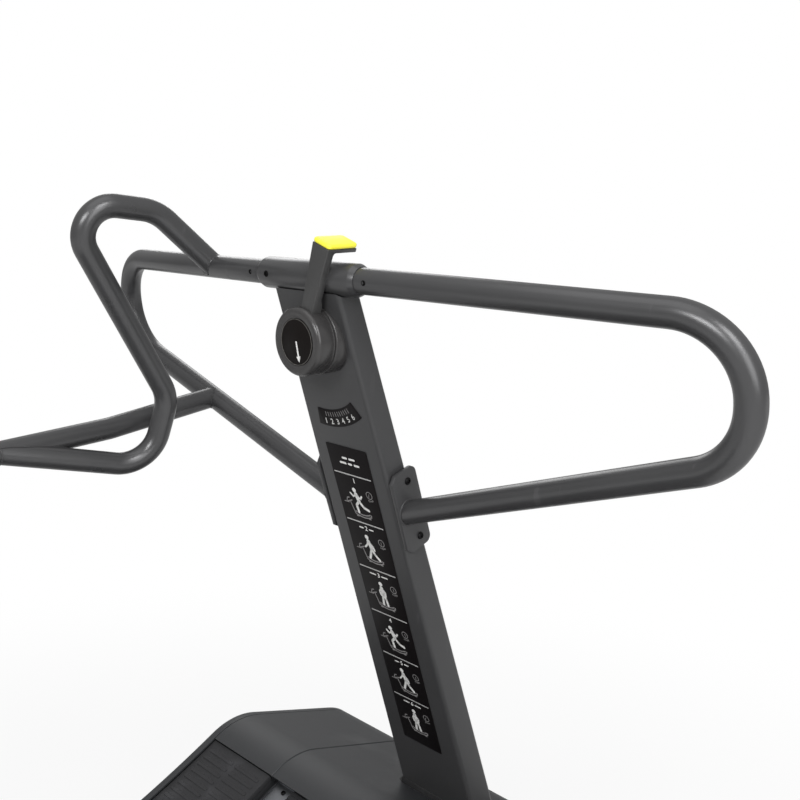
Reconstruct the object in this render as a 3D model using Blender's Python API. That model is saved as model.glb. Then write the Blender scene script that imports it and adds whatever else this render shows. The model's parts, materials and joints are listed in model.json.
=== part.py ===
"""Curved slat-belt treadmill with swept handle loops, a left grab handle and a six-step resistance selector.

Metres, +Z up, +Y forwards (the way the runner faces), origin on the floor under the middle of the machine.
"""
import math

import bmesh
import bpy
from mathutils import Vector

# Overall sizes
LENGTH = 1.78
COVER_WIDTH = 0.80
KNOB_HEIGHT = 1.22
TOUCH = 0.0003

# Slat belt and what carries it
DRUM_RADIUS = 0.080
FRONT_DRUM_Y = LENGTH / 2 - 0.29
FRONT_DRUM_Z = 0.36
REAR_DRUM_Y = -LENGTH / 2 + 0.19
REAR_DRUM_Z = 0.24
TRACK_RADIUS = 1.90
SAG_RADIUS = 2.70
BELT_X = 0.200
BELT_WIDTH = 0.030
BELT_THICKNESS = 0.006
SLAT_HALF_LENGTH = 0.225
SLAT_PITCH = 0.060
SLAT_SPACE = 0.004
SLAT_THICKNESS = 0.016
ROLLER_RADIUS = 0.016
ROLLER_WIDTH = 0.016
ROLLER_STUD_RADIUS = 0.005
ROLLER_PITCH = 0.120
ROLLER_RAIL_HEIGHT = 0.018
ROLLER_RAIL_THICKNESS = 0.006
TRACK_END_MARGIN = 0.09
SHAFT_RADIUS = 0.0125
DRUM_CORE_RADIUS = 0.030
BEARING_RADIUS = 0.035
BEARING_WIDTH = 0.015
FLYWHEEL_BEARING_RADIUS = 0.026

# Frame
SIDE_PLATE_X = 0.235
SIDE_PLATE_THICKNESS = 0.006
SIDE_PLATE_FRONT = LENGTH / 2 - 0.11
RAIL_WIDTH = 0.060
RAIL_HEIGHT = 0.050
RAIL_BOTTOM = 0.040
RAIL_WALL = 0.0025
RAIL_REAR = -LENGTH / 2 + 0.09
RAIL_FRONT = LENGTH / 2 - 0.015
BEAM_WIDTH = 0.050
BEAM_HEIGHT = 0.040
REAR_BEAM_Y = -LENGTH / 2 + 0.15
FRONT_BEAM_Y = LENGTH / 2 - 0.055
FRONT_BEAM_WIDTH = 0.080
FOOT_Y = LENGTH / 2 - 0.12
FOOT_RADIUS = 0.024
STEM_RADIUS = 0.006
STEM_LENGTH = 0.060
WHEEL_RADIUS = 0.040
WHEEL_WIDTH = 0.024
WHEEL_LIFT = 0.0125
AXLE_RADIUS = 0.005
REAR_HANDLE_HALF_WIDTH = 0.12
REAR_HANDLE_RADIUS = 0.010
REAR_HANDLE_Z = 0.068
POST_SIZE = 0.030
POST_PLACES = (-0.50, -0.05, 0.40)

# Covers and steps
STEP_HEIGHT = 0.0355
STEP_THICKNESS = 0.012
STEP_INNER_X = 0.232
STEP_REAR = -LENGTH / 2 + 0.22
STEP_FRONT = LENGTH / 2 - 0.33
COVER_RISE = 0.0025
COVER_WALL = 0.003
COVER_RIM = 0.015
COVER_BOTTOM = 0.055
COVER_GAP = 0.0005
NOSE_ANGLE = math.radians(70)
NOSE_CORNER = 0.100
REAR_COVER_BOTTOM = 0.100

# Mast
MAST_LEAN = math.radians(17)
MAST_TOP_WIDTH = 0.1206
MAST_FOOT_WIDTH = 0.1714
MAST_TOP_DEPTH = 0.0345
MAST_FOOT_DEPTH = 0.0503
MAST_END_HEIGHT = 0.0916
MAST_WALL = 0.003
MAST_CORNER = 0.006
MAST_FOOT_PLATE = (0.220, 0.078, 0.008)

# Handlebar, measured along the mast from the selector
TUBE_RADIUS = 0.016
TUBE_WALL = 0.0025
BAR_ABOVE_KNOB = 0.080
MAST_LENGTH = BAR_ABOVE_KNOB + (KNOB_HEIGHT - MAST_END_HEIGHT) / math.cos(MAST_LEAN)
SLEEVE_RADIUS = 0.0203
SLEEVE_HALF_LENGTH = 0.090
SLEEVE_CHAMFER = 0.003
LOOP_REACH = 0.541
LOOP_SWEEP = 0.053
LOOP_DROP = 0.0255
LOOP_SIDE_HEIGHT = 0.1375
LOOP_BEND = 0.082
LOOP_LOWER_SWEEP = 0.0285
LOOP_END_REACH = 0.15
PLATE_BELOW_KNOB = 0.2475
PLATE_LENGTH = 0.119
PLATE_WIDTH = 0.046
PLATE_THICKNESS = 0.006
PLATE_CORNER = 0.010
PLATE_BOLT_SPREAD = 0.043
PLATE_BOLT_DEPTH = 0.0275
PLATE_BOLT_RADIUS = 0.004
PLATE_BOLT_HEAD_RADIUS = 0.0065
PLATE_BOLT_HEAD = 0.003

# Left grab handle and side rail: bend corners counted from the selector, across, forwards and up
GRAB_START_X = -0.230
GRAB_CORNERS = ((-0.245, -0.106, 0.184), (-0.262, -0.195, 0.151), (-0.285, -0.028, -0.129), (-0.300, -0.068, -0.219))
GRAB_BEND = 0.056
GRAB_NOTCH_REACH = 0.08
RAIL_START_X = -0.342
RAIL_CORNER = (-0.342, -0.106, -0.155)
RAIL_MEET_GRAB_Y = -0.270
RAIL_KNEE = (-0.342, -0.640, -0.170)
RAIL_BEND = 0.110
RAIL_LEG_X = -0.430
RAIL_LEG_Y = -0.36
RAIL_LEG_TOP = 0.52
OUTRIGGER_WIDTH = 0.060
OUTRIGGER_THICKNESS = 0.010
OUTRIGGER_REACH = 0.460

# Selector
KNOB_SIDE = 0.008
KNOB_UP = 0.004
KNOB_TILT = math.radians(17)
KNOB_BASE_RADIUS = 0.0445
KNOB_BASE_TOP = 0.0138
KNOB_RADIUS = 0.043
KNOB_FACE = 0.042
KNOB_RIM = 0.0065
KNOB_SHOULDER = 0.036
DIAL_RADIUS = 0.0291
DIAL_THICKNESS = 0.0022
SELECTOR_SHAFT_RADIUS = 0.006
CAM_RADIUS = 0.022
CAM_GROOVE_RADIUS = 0.0195
CAM_THICKNESS = 0.008
CAM_GROOVE = 0.004
CAM_DEPTH = 0.016
LEVER_LEAN = math.radians(19.3)
LEVER_ROOT_WIDTH = 0.0195
LEVER_TOP_WIDTH = 0.029
LEVER_TOP = 0.1255
LEVER_FRONT = 0.035
LEVER_ROOT_DEPTH = 0.016
LEVER_ROOT_STEP = 0.009
LEVER_CLEARANCE = 0.0008
PLATFORM_THICKNESS = 0.005
PLATFORM_LENGTH = 0.046
CAP_WIDTH = 0.0304
CAP_THICKNESS = 0.006
SCALE_INNER = 0.099
SCALE_OUTER = 0.126
SCALE_HALF_ANGLE = math.radians(19)
PLAQUE_THICKNESS = 0.0006
PLAQUE_WIDTH = 0.078
PLAQUE_TOP = 0.154
PLAQUE_LENGTH = 0.530

# Brake
FLYWHEEL_Y = LENGTH / 2 - 0.19
FLYWHEEL_Z = 0.205
FLYWHEEL_RADIUS = 0.100
FLYWHEEL_X = 0.285
FLYWHEEL_THICKNESS = 0.012
FLYWHEEL_SHAFT_RADIUS = 0.010
DRIVE_PULLEY_RADIUS = 0.065
SMALL_PULLEY_RADIUS = 0.018
DRIVE_X = 0.258
DRIVE_WIDTH = 0.014
DRIVE_BELT_THICKNESS = 0.004
DRIVE_BELT_PLAY = 0.0015
PIVOT_Y = LENGTH / 2 - 0.09
PIVOT_Z = 0.305
PIVOT_RADIUS = 0.005
CARRIAGE_WALL = 0.004
CARRIAGE_SLOT_PLAY = 0.006
CARRIAGE_SLOT_RIM = 0.0065
MAGNET_THICKNESS = 0.0042
MAGNET_BRIDGE = 0.0030
MAGNET_DEPTH = 0.030
MAGNET_HALF_ANGLE = math.radians(17)
ANCHOR_REACH = 0.055
ANCHOR_HOLE_RADIUS = 0.0045
BRACKET_X = 0.2615
BRACKET_THICKNESS = 0.005
SHELF_Z = 0.345
SHELF_THICKNESS = 0.005
SPRING_RADIUS = 0.006
SPRING_WIRE = 0.0006
SPRING_TURNS = 6
CABLE_RADIUS = 0.0025
CABLE_RISE_Z = 0.45
CABLE_IN_MAST = ((0.020, -0.50), (0.018, -0.30), (0.015, -0.15), (0.0095, -0.055))
WIRE_RADIUS = 0.0008

STEEL_BLACK = ((0.075, 0.077, 0.080), 0.38, 0.6)
FINISHES = {
    "mast_paint": ((0.090, 0.092, 0.095), 0.42, 0.4),
    "tube_paint": STEEL_BLACK,
    "frame_paint": ((0.060, 0.062, 0.065), 0.50, 0.3),
    "cover_plastic": ((0.035, 0.036, 0.038), 0.55, 0.0),
    "step_rubber": ((0.025, 0.025, 0.027), 0.85, 0.0),
    "slat_aluminium": ((0.55, 0.56, 0.58), 0.35, 1.0),
    "steel": ((0.45, 0.46, 0.48), 0.30, 1.0),
    "belt_rubber": ((0.018, 0.018, 0.018), 0.80, 0.0),
    "knob_plastic": ((0.085, 0.087, 0.090), 0.33, 0.2),
    "dial_black": ((0.012, 0.011, 0.010), 0.45, 0.0),
    "cap_yellow": ((0.95, 0.90, 0.08), 0.40, 0.0),
    "plaque_black": ((0.014, 0.013, 0.014), 0.50, 0.0),
    "magnet_nickel": ((0.60, 0.60, 0.58), 0.25, 1.0),
    "foot_rubber": ((0.030, 0.030, 0.030), 0.75, 0.0),
}
DRUM_SIDES = 24


def clear_scene():
    for thing in list(bpy.data.objects):
        bpy.data.objects.remove(thing, do_unlink=True)


def finish(name):
    """The Principled material of that name, made on first use."""
    made = bpy.data.materials.get(name)
    if made is None:
        colour, roughness, metallic = FINISHES[name]
        made = bpy.data.materials.new(name)
        made.use_nodes = True
        shader = made.node_tree.nodes["Principled BSDF"]
        shader.inputs["Base Color"].default_value = (*colour, 1.0)
        shader.inputs["Roughness"].default_value = roughness
        shader.inputs["Metallic"].default_value = metallic
    return made


def place(thing, parent=None, location=(0, 0, 0), rotation=(0, 0, 0)):
    thing.location = location
    thing.rotation_euler = rotation
    thing.parent = parent
    bpy.context.scene.collection.objects.link(thing)
    return thing


def empty(name, parent=None, location=(0, 0, 0), rotation=(0, 0, 0)):
    return place(bpy.data.objects.new(name, None), parent, location, rotation)


def solid(name, bm, material, smooth=True, **where):
    """Turns a finished bmesh into a named object with outward faces."""
    bmesh.ops.recalc_face_normals(bm, faces=bm.faces)
    mesh = bpy.data.meshes.new(name)
    bm.to_mesh(mesh)
    bm.free()
    mesh.materials.append(finish(material))
    if smooth:
        mesh.shade_smooth()
        mesh.set_sharp_from_angle(angle=math.radians(35))
    return place(bpy.data.objects.new(name, mesh), **where)


def boolean(target, other, operation):
    change = target.modifiers.new(operation.lower(), "BOOLEAN")
    change.operation = operation
    change.solver = "EXACT"
    change.object = other
    other.hide_render = True
    other.display_type = "WIRE"


def cut(target, *cutters):
    for cutter in cutters:
        boolean(target, cutter, "DIFFERENCE")


def add_loft(bm, rings):
    """Joins rings of equally many points and closes both ends."""
    loops = [[bm.verts.new(point) for point in ring] for ring in rings]
    count = len(loops[0])
    for first, second in zip(loops, loops[1:]):
        for i in range(count):
            j = (i + 1) % count
            bm.faces.new((first[i], first[j], second[j], second[i]))
    bm.faces.new(loops[0])
    bm.faces.new(loops[-1])


def add_sleeve(bm, outer, inner):
    """Joins outer and inner rings into an open-ended wall."""
    out = [[bm.verts.new(point) for point in ring] for ring in outer]
    inn = [[bm.verts.new(point) for point in ring] for ring in inner]
    chain = out + inn[::-1] + [out[0]]
    count = len(out[0])
    for first, second in zip(chain, chain[1:]):
        for i in range(count):
            j = (i + 1) % count
            bm.faces.new((first[i], first[j], second[j], second[i]))


def add_prism(bm, outline, low, high):
    """Extrudes a (y, z) outline along X."""
    add_loft(bm, [[(x, y, z) for y, z in outline] for x in (low, high)])


def add_box(bm, low, high):
    (x0, y0, z0), (x1, y1, z1) = low, high
    add_prism(bm, [(y0, z0), (y1, z0), (y1, z1), (y0, z1)], x0, x1)


def add_lathe(bm, profile, sides, axis="Z", centre=(0, 0, 0)):
    """Turns (radius, height) points about an axis; a radius of 0 closes an end."""
    rings = []
    for radius, height in profile:
        steps = 1 if radius == 0 else sides
        ring = []
        for i in range(steps):
            angle = 2 * math.pi * i / sides
            a, b = radius * math.cos(angle), radius * math.sin(angle)
            point = (a, b, height) if axis == "Z" else (height, a, b)
            ring.append(bm.verts.new(Vector(point) + Vector(centre)))
        rings.append(ring)
    pairs = list(zip(rings, rings[1:]))
    if profile[0][0] > 0:
        pairs.append((rings[-1], rings[0]))
    for first, second in pairs:
        for i in range(sides):
            j = (i + 1) % sides
            corners = [first[i % len(first)], first[j % len(first)], second[j % len(second)], second[i % len(second)]]
            bm.faces.new(list(dict.fromkeys(corners)))


def add_rod(bm, radius, low, high, sides, axis="Z", centre=(0, 0, 0)):
    add_lathe(bm, [(0, low), (radius, low), (radius, high), (0, high)], sides, axis, centre)


def add_ring(bm, outer, inner, low, high, sides, axis="Z", centre=(0, 0, 0)):
    add_lathe(bm, [(inner, low), (outer, low), (outer, high), (inner, high)], sides, axis, centre)


def round_bore(radius, sides):
    """Corner radius of a many-sided bore that clears a pin of this radius."""
    return (radius + TOUCH) / math.cos(math.pi / sides)


def arc(centre, radius, start, end, steps):
    """Points of a circular arc in the (y, z) plane, angles in radians from +Y."""
    turn = [start + (end - start) * i / steps for i in range(steps + 1)]
    return [(centre[0] + radius * math.cos(t), centre[1] + radius * math.sin(t)) for t in turn]


def rounded_path(corners, radius, step=math.radians(18)):
    """A line through corners with each inner corner turned into an arc."""
    corners = [Vector(corner) for corner in corners]
    points = [corners[0]]
    for before, corner, after in zip(corners, corners[1:], corners[2:]):
        back = (before - corner).normalized()
        ahead = (after - corner).normalized()
        turn = math.pi - back.angle(ahead)
        reach = radius * math.tan(turn / 2)
        centre = corner + (back + ahead).normalized() * (radius / math.cos(turn / 2))
        start = corner + back * reach - centre
        side = -back * radius
        steps = max(1, round(turn / step))
        for i in range(steps + 1):
            angle = turn * i / steps
            points.append(centre + start * math.cos(angle) + side * math.sin(angle))
    return points + [corners[-1]]


def smooth_path(points, steps):
    """Catmull-Rom curve through the points."""
    points = [Vector(point) for point in points]
    padded = [2 * points[0] - points[1]] + points + [2 * points[-1] - points[-2]]
    made = []
    for a, b, c, d in zip(padded, padded[1:], padded[2:], padded[3:]):
        for i in range(steps):
            t = i / steps
            made.append(0.5 * (2 * b + (c - a) * t + (2 * a - 5 * b + 4 * c - d) * t ** 2
                               + (3 * b - a - 3 * c + d) * t ** 3))
    return made + [points[-1]]


def curve_tube(name, points, radius, material, wall=0.0, resolution=3, widths=None, **where):
    """A round tube or rod along the points; a wall makes it hollow with open ends."""
    curve = bpy.data.curves.new(name + "_line", "CURVE")
    curve.dimensions = "3D"
    curve.bevel_depth = radius
    curve.bevel_resolution = resolution
    curve.use_fill_caps = wall == 0
    spline = curve.splines.new("POLY")
    spline.points.add(len(points) - 1)
    for i, point in enumerate(points):
        spline.points[i].co = (*point, 1.0)
        spline.points[i].radius = widths[i] if widths else 1.0
    line = place(bpy.data.objects.new(name + "_line", curve))
    if wall:
        shell = line.modifiers.new("wall", "SOLIDIFY")
        shell.thickness = wall
        shell.offset = -1.0
    bpy.context.view_layer.update()
    swept = bpy.data.meshes.new_from_object(line.evaluated_get(bpy.context.evaluated_depsgraph_get()))
    bpy.data.objects.remove(line, do_unlink=True)
    bm = bmesh.new()
    bm.from_mesh(swept)
    bmesh.ops.remove_doubles(bm, verts=bm.verts, dist=1e-6)
    return solid(name, bm, material, **where)


def rod_between(name, start, end, radius, sides=24, parent=None):
    """A straight rod used as a cutter."""
    start, end = Vector(start), Vector(end)
    bm = bmesh.new()
    add_rod(bm, radius, 0, (end - start).length, sides)
    turn = (end - start).to_track_quat("Z", "Y").to_euler()
    return solid(name, bm, "steel", parent=parent, location=start, rotation=turn)


def box_cutter(name, low, high, parent=None):
    bm = bmesh.new()
    add_box(bm, low, high)
    return solid(name, bm, "steel", parent=parent)


# The closed path of the belt's inner face
class BeltPath:
    """Upper track arc, front drum, sagging lower run and rear drum, as arcs in the (y, z) plane."""

    def __init__(self):
        front = Vector((FRONT_DRUM_Y, FRONT_DRUM_Z))
        rear = Vector((REAR_DRUM_Y, REAR_DRUM_Z))
        middle = (front + rear) / 2
        along = (front - rear).normalized()
        normal = Vector((-along.y, along.x))
        half = (front - rear).length / 2
        self.front, self.rear = front, rear
        self.upper = middle + normal * math.sqrt((TRACK_RADIUS + DRUM_RADIUS) ** 2 - half ** 2)
        self.lower = middle + normal * math.sqrt((SAG_RADIUS - DRUM_RADIUS) ** 2 - half ** 2)
        self.track_front = self.angle(self.upper, front)
        self.track_rear = self.angle(self.upper, rear)
        front_top = self.angle(front, self.upper)
        rear_top = self.angle(rear, self.upper)
        front_low = self.angle(self.lower, front)
        rear_low = self.angle(self.lower, rear)
        full = 2 * math.pi
        self.pieces = [
            (self.upper, TRACK_RADIUS, self.track_rear, self.track_front, -1),
            (front, DRUM_RADIUS, front_top, front_low, 1),
            (self.lower, SAG_RADIUS, front_low, rear_low, 1),
            (rear, DRUM_RADIUS, rear_low + full, rear_top, 1),
        ]
        self.front_top, self.rear_top = front_top, rear_top

    @staticmethod
    def angle(start, end):
        return math.atan2(end.y - start.y, end.x - start.x)

    def lengths(self):
        return [abs(end - start) * radius for _, radius, start, end, _ in self.pieces]

    def at(self, distance):
        """Point on the inner face and its outward normal, at a distance along the path."""
        for (centre, radius, start, end, outward), length in zip(self.pieces, self.lengths()):
            if distance <= length:
                turn = start + (end - start) * distance / length
                ray = Vector((math.cos(turn), math.sin(turn)))
                return centre + ray * radius, ray * outward
            distance -= length
        return self.at(distance)


def nose_points(path, margin, bottom, front):
    """Front of the lower machine from the floor side up to the running curve, standing off the belt's inner face."""
    slope = arc(path.front, DRUM_RADIUS + margin, NOSE_ANGLE, path.front_top, 4)
    top = slope[0]
    fall = -math.cos(NOSE_ANGLE) / math.sin(NOSE_ANGLE)
    corner = (front, top[1] + fall * (front - top[0]))
    rounded = rounded_path([(0, front, bottom), (0, *corner), (0, *top)], NOSE_CORNER)
    return [(point.y, point.z) for point in rounded[:-1]] + slope


def tail_points(path, margin, bottom):
    tail = arc(path.rear, DRUM_RADIUS + margin, path.rear_top, math.pi, 6)
    return tail + [(tail[-1][0], bottom)]


def machine_outline(path, margin, bottom, front):
    """Side view of the lower machine: nose, running curve and tail."""
    running = arc(path.upper, TRACK_RADIUS - margin, path.track_front, path.track_rear, 20)
    return nose_points(path, margin, bottom, front) + running[1:-1] + tail_points(path, margin, bottom)


def track_angle(path, y):
    return math.asin((y - path.upper.x) / TRACK_RADIUS) - math.pi / 2


def upper_strip(path, low, high, rear, front, steps=16):
    """A strip that follows the running curve between two heights over the belt's inner face."""
    start, end = track_angle(path, rear), track_angle(path, front)
    return (arc(path.upper, TRACK_RADIUS - low, start, end, steps)
            + arc(path.upper, TRACK_RADIUS - high, end, start, steps))


def track_height(path, y, margin):
    radius = TRACK_RADIUS - margin
    return path.upper.y - math.sqrt(radius ** 2 - (y - path.upper.x) ** 2)


# Slat belt
def slat_frames(path):
    total = sum(path.lengths())
    count = round(total / SLAT_PITCH)
    for i in range(count):
        point, normal = path.at(total * i / count)
        yield point, normal, total / count


def make_slat_belt(path):
    """Slats across two carrier belts, closed into one loop: the belts' outer faces are open under the slats."""
    low, high = BELT_THICKNESS, BELT_THICKNESS + SLAT_THICKNESS
    near, far = BELT_X - BELT_WIDTH / 2, BELT_X + BELT_WIDTH / 2
    bm = bmesh.new()
    stations = []
    for point, normal, pitch in slat_frames(path):
        tangent = Vector((normal.y, -normal.x))
        half = (pitch - SLAT_SPACE) / 2

        def spot(x, along, height):
            place_at = point + tangent * along + normal * height
            return bm.verts.new((x, place_at.x, place_at.y))

        xs = (-SLAT_HALF_LENGTH, -far, -near, near, far, SLAT_HALF_LENGTH)
        back = [spot(x, -half, low) for x in xs]
        ahead = [spot(x, half, low) for x in xs]
        top = [spot(-SLAT_HALF_LENGTH, -half, high), spot(SLAT_HALF_LENGTH, -half, high),
               spot(SLAT_HALF_LENGTH, half, high), spot(-SLAT_HALF_LENGTH, half, high)]
        bm.faces.new(top)
        bm.faces.new((*back, top[1], top[0]))
        bm.faces.new((*ahead, top[2], top[3]))
        bm.faces.new((back[0], top[0], top[3], ahead[0]))
        bm.faces.new((back[-1], top[1], top[2], ahead[-1]))
        for i in (0, 2, 4):
            bm.faces.new((back[i], back[i + 1], ahead[i + 1], ahead[i]))
        under = [[spot(x, along, 0) for x in (-far, -near, near, far)] for along in (-half, half)]
        stations.append((back[1:5], ahead[1:5], *under))
    for (back, ahead, back_in, ahead_in), following in zip(stations, stations[1:] + stations[:1]):
        for a, b, a_in, b_in, bare in ((back, ahead, back_in, ahead_in, False),
                                       (ahead, following[0], ahead_in, following[2], True)):
            for i in (0, 2):
                j = i + 1
                bm.faces.new((a_in[i], a_in[j], b_in[j], b_in[i]))
                bm.faces.new((a[i], b[i], b_in[i], a_in[i]))
                bm.faces.new((a[j], b[j], b_in[j], a_in[j]))
                if bare:
                    bm.faces.new((a[i], a[j], b[j], b[i]))
    solid("slat_belt", bm, "slat_aluminium", smooth=False)


def make_roller_tracks(path):
    """A curved rail on each side plate, with cam followers that carry the belts."""
    radius = TRACK_RADIUS + 2 * TOUCH + ROLLER_RADIUS
    start = path.track_rear + TRACK_END_MARGIN / TRACK_RADIUS
    end = path.track_front - TRACK_END_MARGIN / TRACK_RADIUS
    count = round((end - start) * TRACK_RADIUS / ROLLER_PITCH)
    half = ROLLER_RAIL_HEIGHT / 2
    spare = 0.02 / radius
    rail_line = (arc(path.upper, radius - half, start - spare, end + spare, 12)
                 + arc(path.upper, radius + half, end + spare, start - spare, 12))
    for name, side in (("roller_track_left", -1), ("roller_track_right", 1)):
        outer = SIDE_PLATE_X - TOUCH
        inner = outer - ROLLER_RAIL_THICKNESS
        bm = bmesh.new()
        add_prism(bm, rail_line, side * inner, side * outer)
        rail = solid(name, bm, "steel")
        bm = bmesh.new()
        profile = [(0, BELT_X - ROLLER_WIDTH / 2), (ROLLER_RADIUS, BELT_X - ROLLER_WIDTH / 2),
                   (ROLLER_RADIUS, BELT_X + ROLLER_WIDTH / 2), (ROLLER_STUD_RADIUS, BELT_X + ROLLER_WIDTH / 2),
                   (ROLLER_STUD_RADIUS, inner + ROLLER_RAIL_THICKNESS / 2), (0, inner + ROLLER_RAIL_THICKNESS / 2)]
        for y, z in arc(path.upper, radius, start, end, count):
            add_lathe(bm, [(r, side * x) for r, x in profile], 8, "X", (0, y, z))
        boolean(rail, solid(name + "_rollers", bm, "steel"), "UNION")


# Drums, shafts and bearings
def make_axle(path_end, prefix, right_end, parent_name):
    """One shaft and its drum with a flange under each belt, turning on an empty at the drum's centre."""
    hub = empty(parent_name, location=(0, *path_end))
    left_end = -(SIDE_PLATE_X + SIDE_PLATE_THICKNESS + BEARING_WIDTH + 0.005)
    bm = bmesh.new()
    add_rod(bm, SHAFT_RADIUS, left_end, right_end, 16, "X")
    solid(prefix + "_shaft", bm, "steel", parent=hub)
    bore, pulley = round_bore(SHAFT_RADIUS, DRUM_SIDES), DRUM_RADIUS - 2 * TOUCH
    near, far = BELT_X - BELT_WIDTH / 2 - 0.002, BELT_X + BELT_WIDTH / 2 + 0.002
    bm = bmesh.new()
    add_lathe(bm, [(bore, -far), (pulley, -far), (pulley, -near), (DRUM_CORE_RADIUS, -near), (DRUM_CORE_RADIUS, near),
                   (pulley, near), (pulley, far), (bore, far)], DRUM_SIDES, "X")
    solid(prefix + "_drum", bm, "cover_plastic", parent=hub)
    return hub


def make_bearings(path):
    near = SIDE_PLATE_X + SIDE_PLATE_THICKNESS + TOUCH
    flywheel = Vector((FLYWHEEL_Y, FLYWHEEL_Z))
    for name, side, centre, outer, shaft in (
            ("front_bearing_left", -1, path.front, BEARING_RADIUS, SHAFT_RADIUS),
            ("front_bearing_right", 1, path.front, BEARING_RADIUS, SHAFT_RADIUS),
            ("rear_bearing_left", -1, path.rear, BEARING_RADIUS, SHAFT_RADIUS),
            ("rear_bearing_right", 1, path.rear, BEARING_RADIUS, SHAFT_RADIUS),
            ("flywheel_bearing", 1, flywheel, FLYWHEEL_BEARING_RADIUS, FLYWHEEL_SHAFT_RADIUS)):
        bm = bmesh.new()
        low, high = sorted((side * near, side * (near + BEARING_WIDTH)))
        add_ring(bm, outer, round_bore(shaft, 16), low, high, 16, "X", (0, *centre))
        solid(name, bm, "frame_paint")


# Frame
def make_side_plates(path):
    margin = STEP_HEIGHT - STEP_THICKNESS - TOUCH
    outline = machine_outline(path, margin, RAIL_BOTTOM + 0.005, SIDE_PLATE_FRONT)
    for name, side in (("side_plate_left", -1), ("side_plate_right", 1)):
        bm = bmesh.new()
        low, high = sorted((side * SIDE_PLATE_X, side * (SIDE_PLATE_X + SIDE_PLATE_THICKNESS)))
        add_prism(bm, outline, low, high)
        plate = solid(name, bm, "frame_paint")
        for centre in (path.front, path.rear):
            ends = [(side * (SIDE_PLATE_X - 0.01), *centre), (side * (SIDE_PLATE_X + 0.02), *centre)]
            cut(plate, rod_between(name + "_shaft_hole", *ends, SHAFT_RADIUS + 0.0015, 16))


def add_box_tube(bm, length, width, height, wall, turn, centre):
    """A rectangular tube with open ends, along X or Y."""
    def ring(w, h, end):
        corners = [(-w / 2, -h / 2), (w / 2, -h / 2), (w / 2, h / 2), (-w / 2, h / 2)]
        if turn == "Y":
            return [(centre[0] + a, end, centre[2] + b) for a, b in corners]
        return [(end, centre[1] + a, centre[2] + b) for a, b in corners]

    middle = centre[1] if turn == "Y" else centre[0]
    ends = (middle - length / 2, middle + length / 2)
    outer = [ring(width, height, end) for end in ends]
    inner = [ring(width - 2 * wall, height - 2 * wall, end) for end in ends]
    add_sleeve(bm, outer, inner)


def rail_x():
    return SIDE_PLATE_X + SIDE_PLATE_THICKNESS + TOUCH + RAIL_WIDTH / 2


def make_base(path):
    middle_z = RAIL_BOTTOM + RAIL_HEIGHT / 2
    top_z = RAIL_BOTTOM + RAIL_HEIGHT
    for name, side in (("base_rail_left", -1), ("base_rail_right", 1)):
        bm = bmesh.new()
        x = side * rail_x()
        add_box_tube(bm, RAIL_FRONT - RAIL_REAR, RAIL_WIDTH, RAIL_HEIGHT, RAIL_WALL, "Y",
                     (x, (RAIL_REAR + RAIL_FRONT) / 2, middle_z))
        rail = solid(name, bm, "frame_paint", smooth=False)
        for y in (-FOOT_Y, FOOT_Y):
            cut(rail, rod_between(name + "_foot_hole", (x, y, RAIL_BOTTOM - 0.01), (x, y, RAIL_BOTTOM + 0.01),
                                  STEM_RADIUS + 0.001, 12))
        wide = RAIL_WIDTH / 2 + 0.01
        cut(rail, rod_between(name + "_axle_hole", (x - wide, FRONT_BEAM_Y, wheel_z()),
                              (x + wide, FRONT_BEAM_Y, wheel_z()), AXLE_RADIUS + 0.0005, 12))
        half = POST_SIZE / 2
        for y in POST_PLACES:
            tops = [track_height(path, end, STEP_HEIGHT - STEP_THICKNESS - TOUCH) for end in (y - half, y + half)]
            bm = bmesh.new()
            base = top_z - RAIL_WALL / 2
            add_prism(bm, [(y - half, base), (y + half, base), (y + half, tops[1]), (y - half, tops[0])],
                      x - half, x + half)
            boolean(rail, solid(name + "_post", bm, "frame_paint"), "UNION")
        if side < 0:
            inner = rail_x() + RAIL_WIDTH / 2 - RAIL_WALL / 2
            low = outrigger_top() - OUTRIGGER_THICKNESS
            arm = box_cutter("outrigger", (-OUTRIGGER_REACH, RAIL_LEG_Y - OUTRIGGER_WIDTH / 2, low),
                             (-inner, RAIL_LEG_Y + OUTRIGGER_WIDTH / 2, outrigger_top()))
            boolean(rail, arm, "UNION")
    bm = bmesh.new()
    add_box_tube(bm, 2 * (SIDE_PLATE_X - TOUCH), BEAM_WIDTH, BEAM_HEIGHT, RAIL_WALL, "X", (0, REAR_BEAM_Y, middle_z))
    solid("rear_beam", bm, "frame_paint", smooth=False)
    bm = bmesh.new()
    inner = rail_x() - RAIL_WIDTH / 2 - TOUCH
    add_box_tube(bm, 2 * inner, FRONT_BEAM_WIDTH, RAIL_HEIGHT, RAIL_WALL, "X", (0, FRONT_BEAM_Y, middle_z))
    solid("front_beam", bm, "frame_paint", smooth=False)


def wheel_z():
    return WHEEL_LIFT + WHEEL_RADIUS


def outrigger_top():
    return RAIL_BOTTOM + 0.005 + OUTRIGGER_THICKNESS


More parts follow.
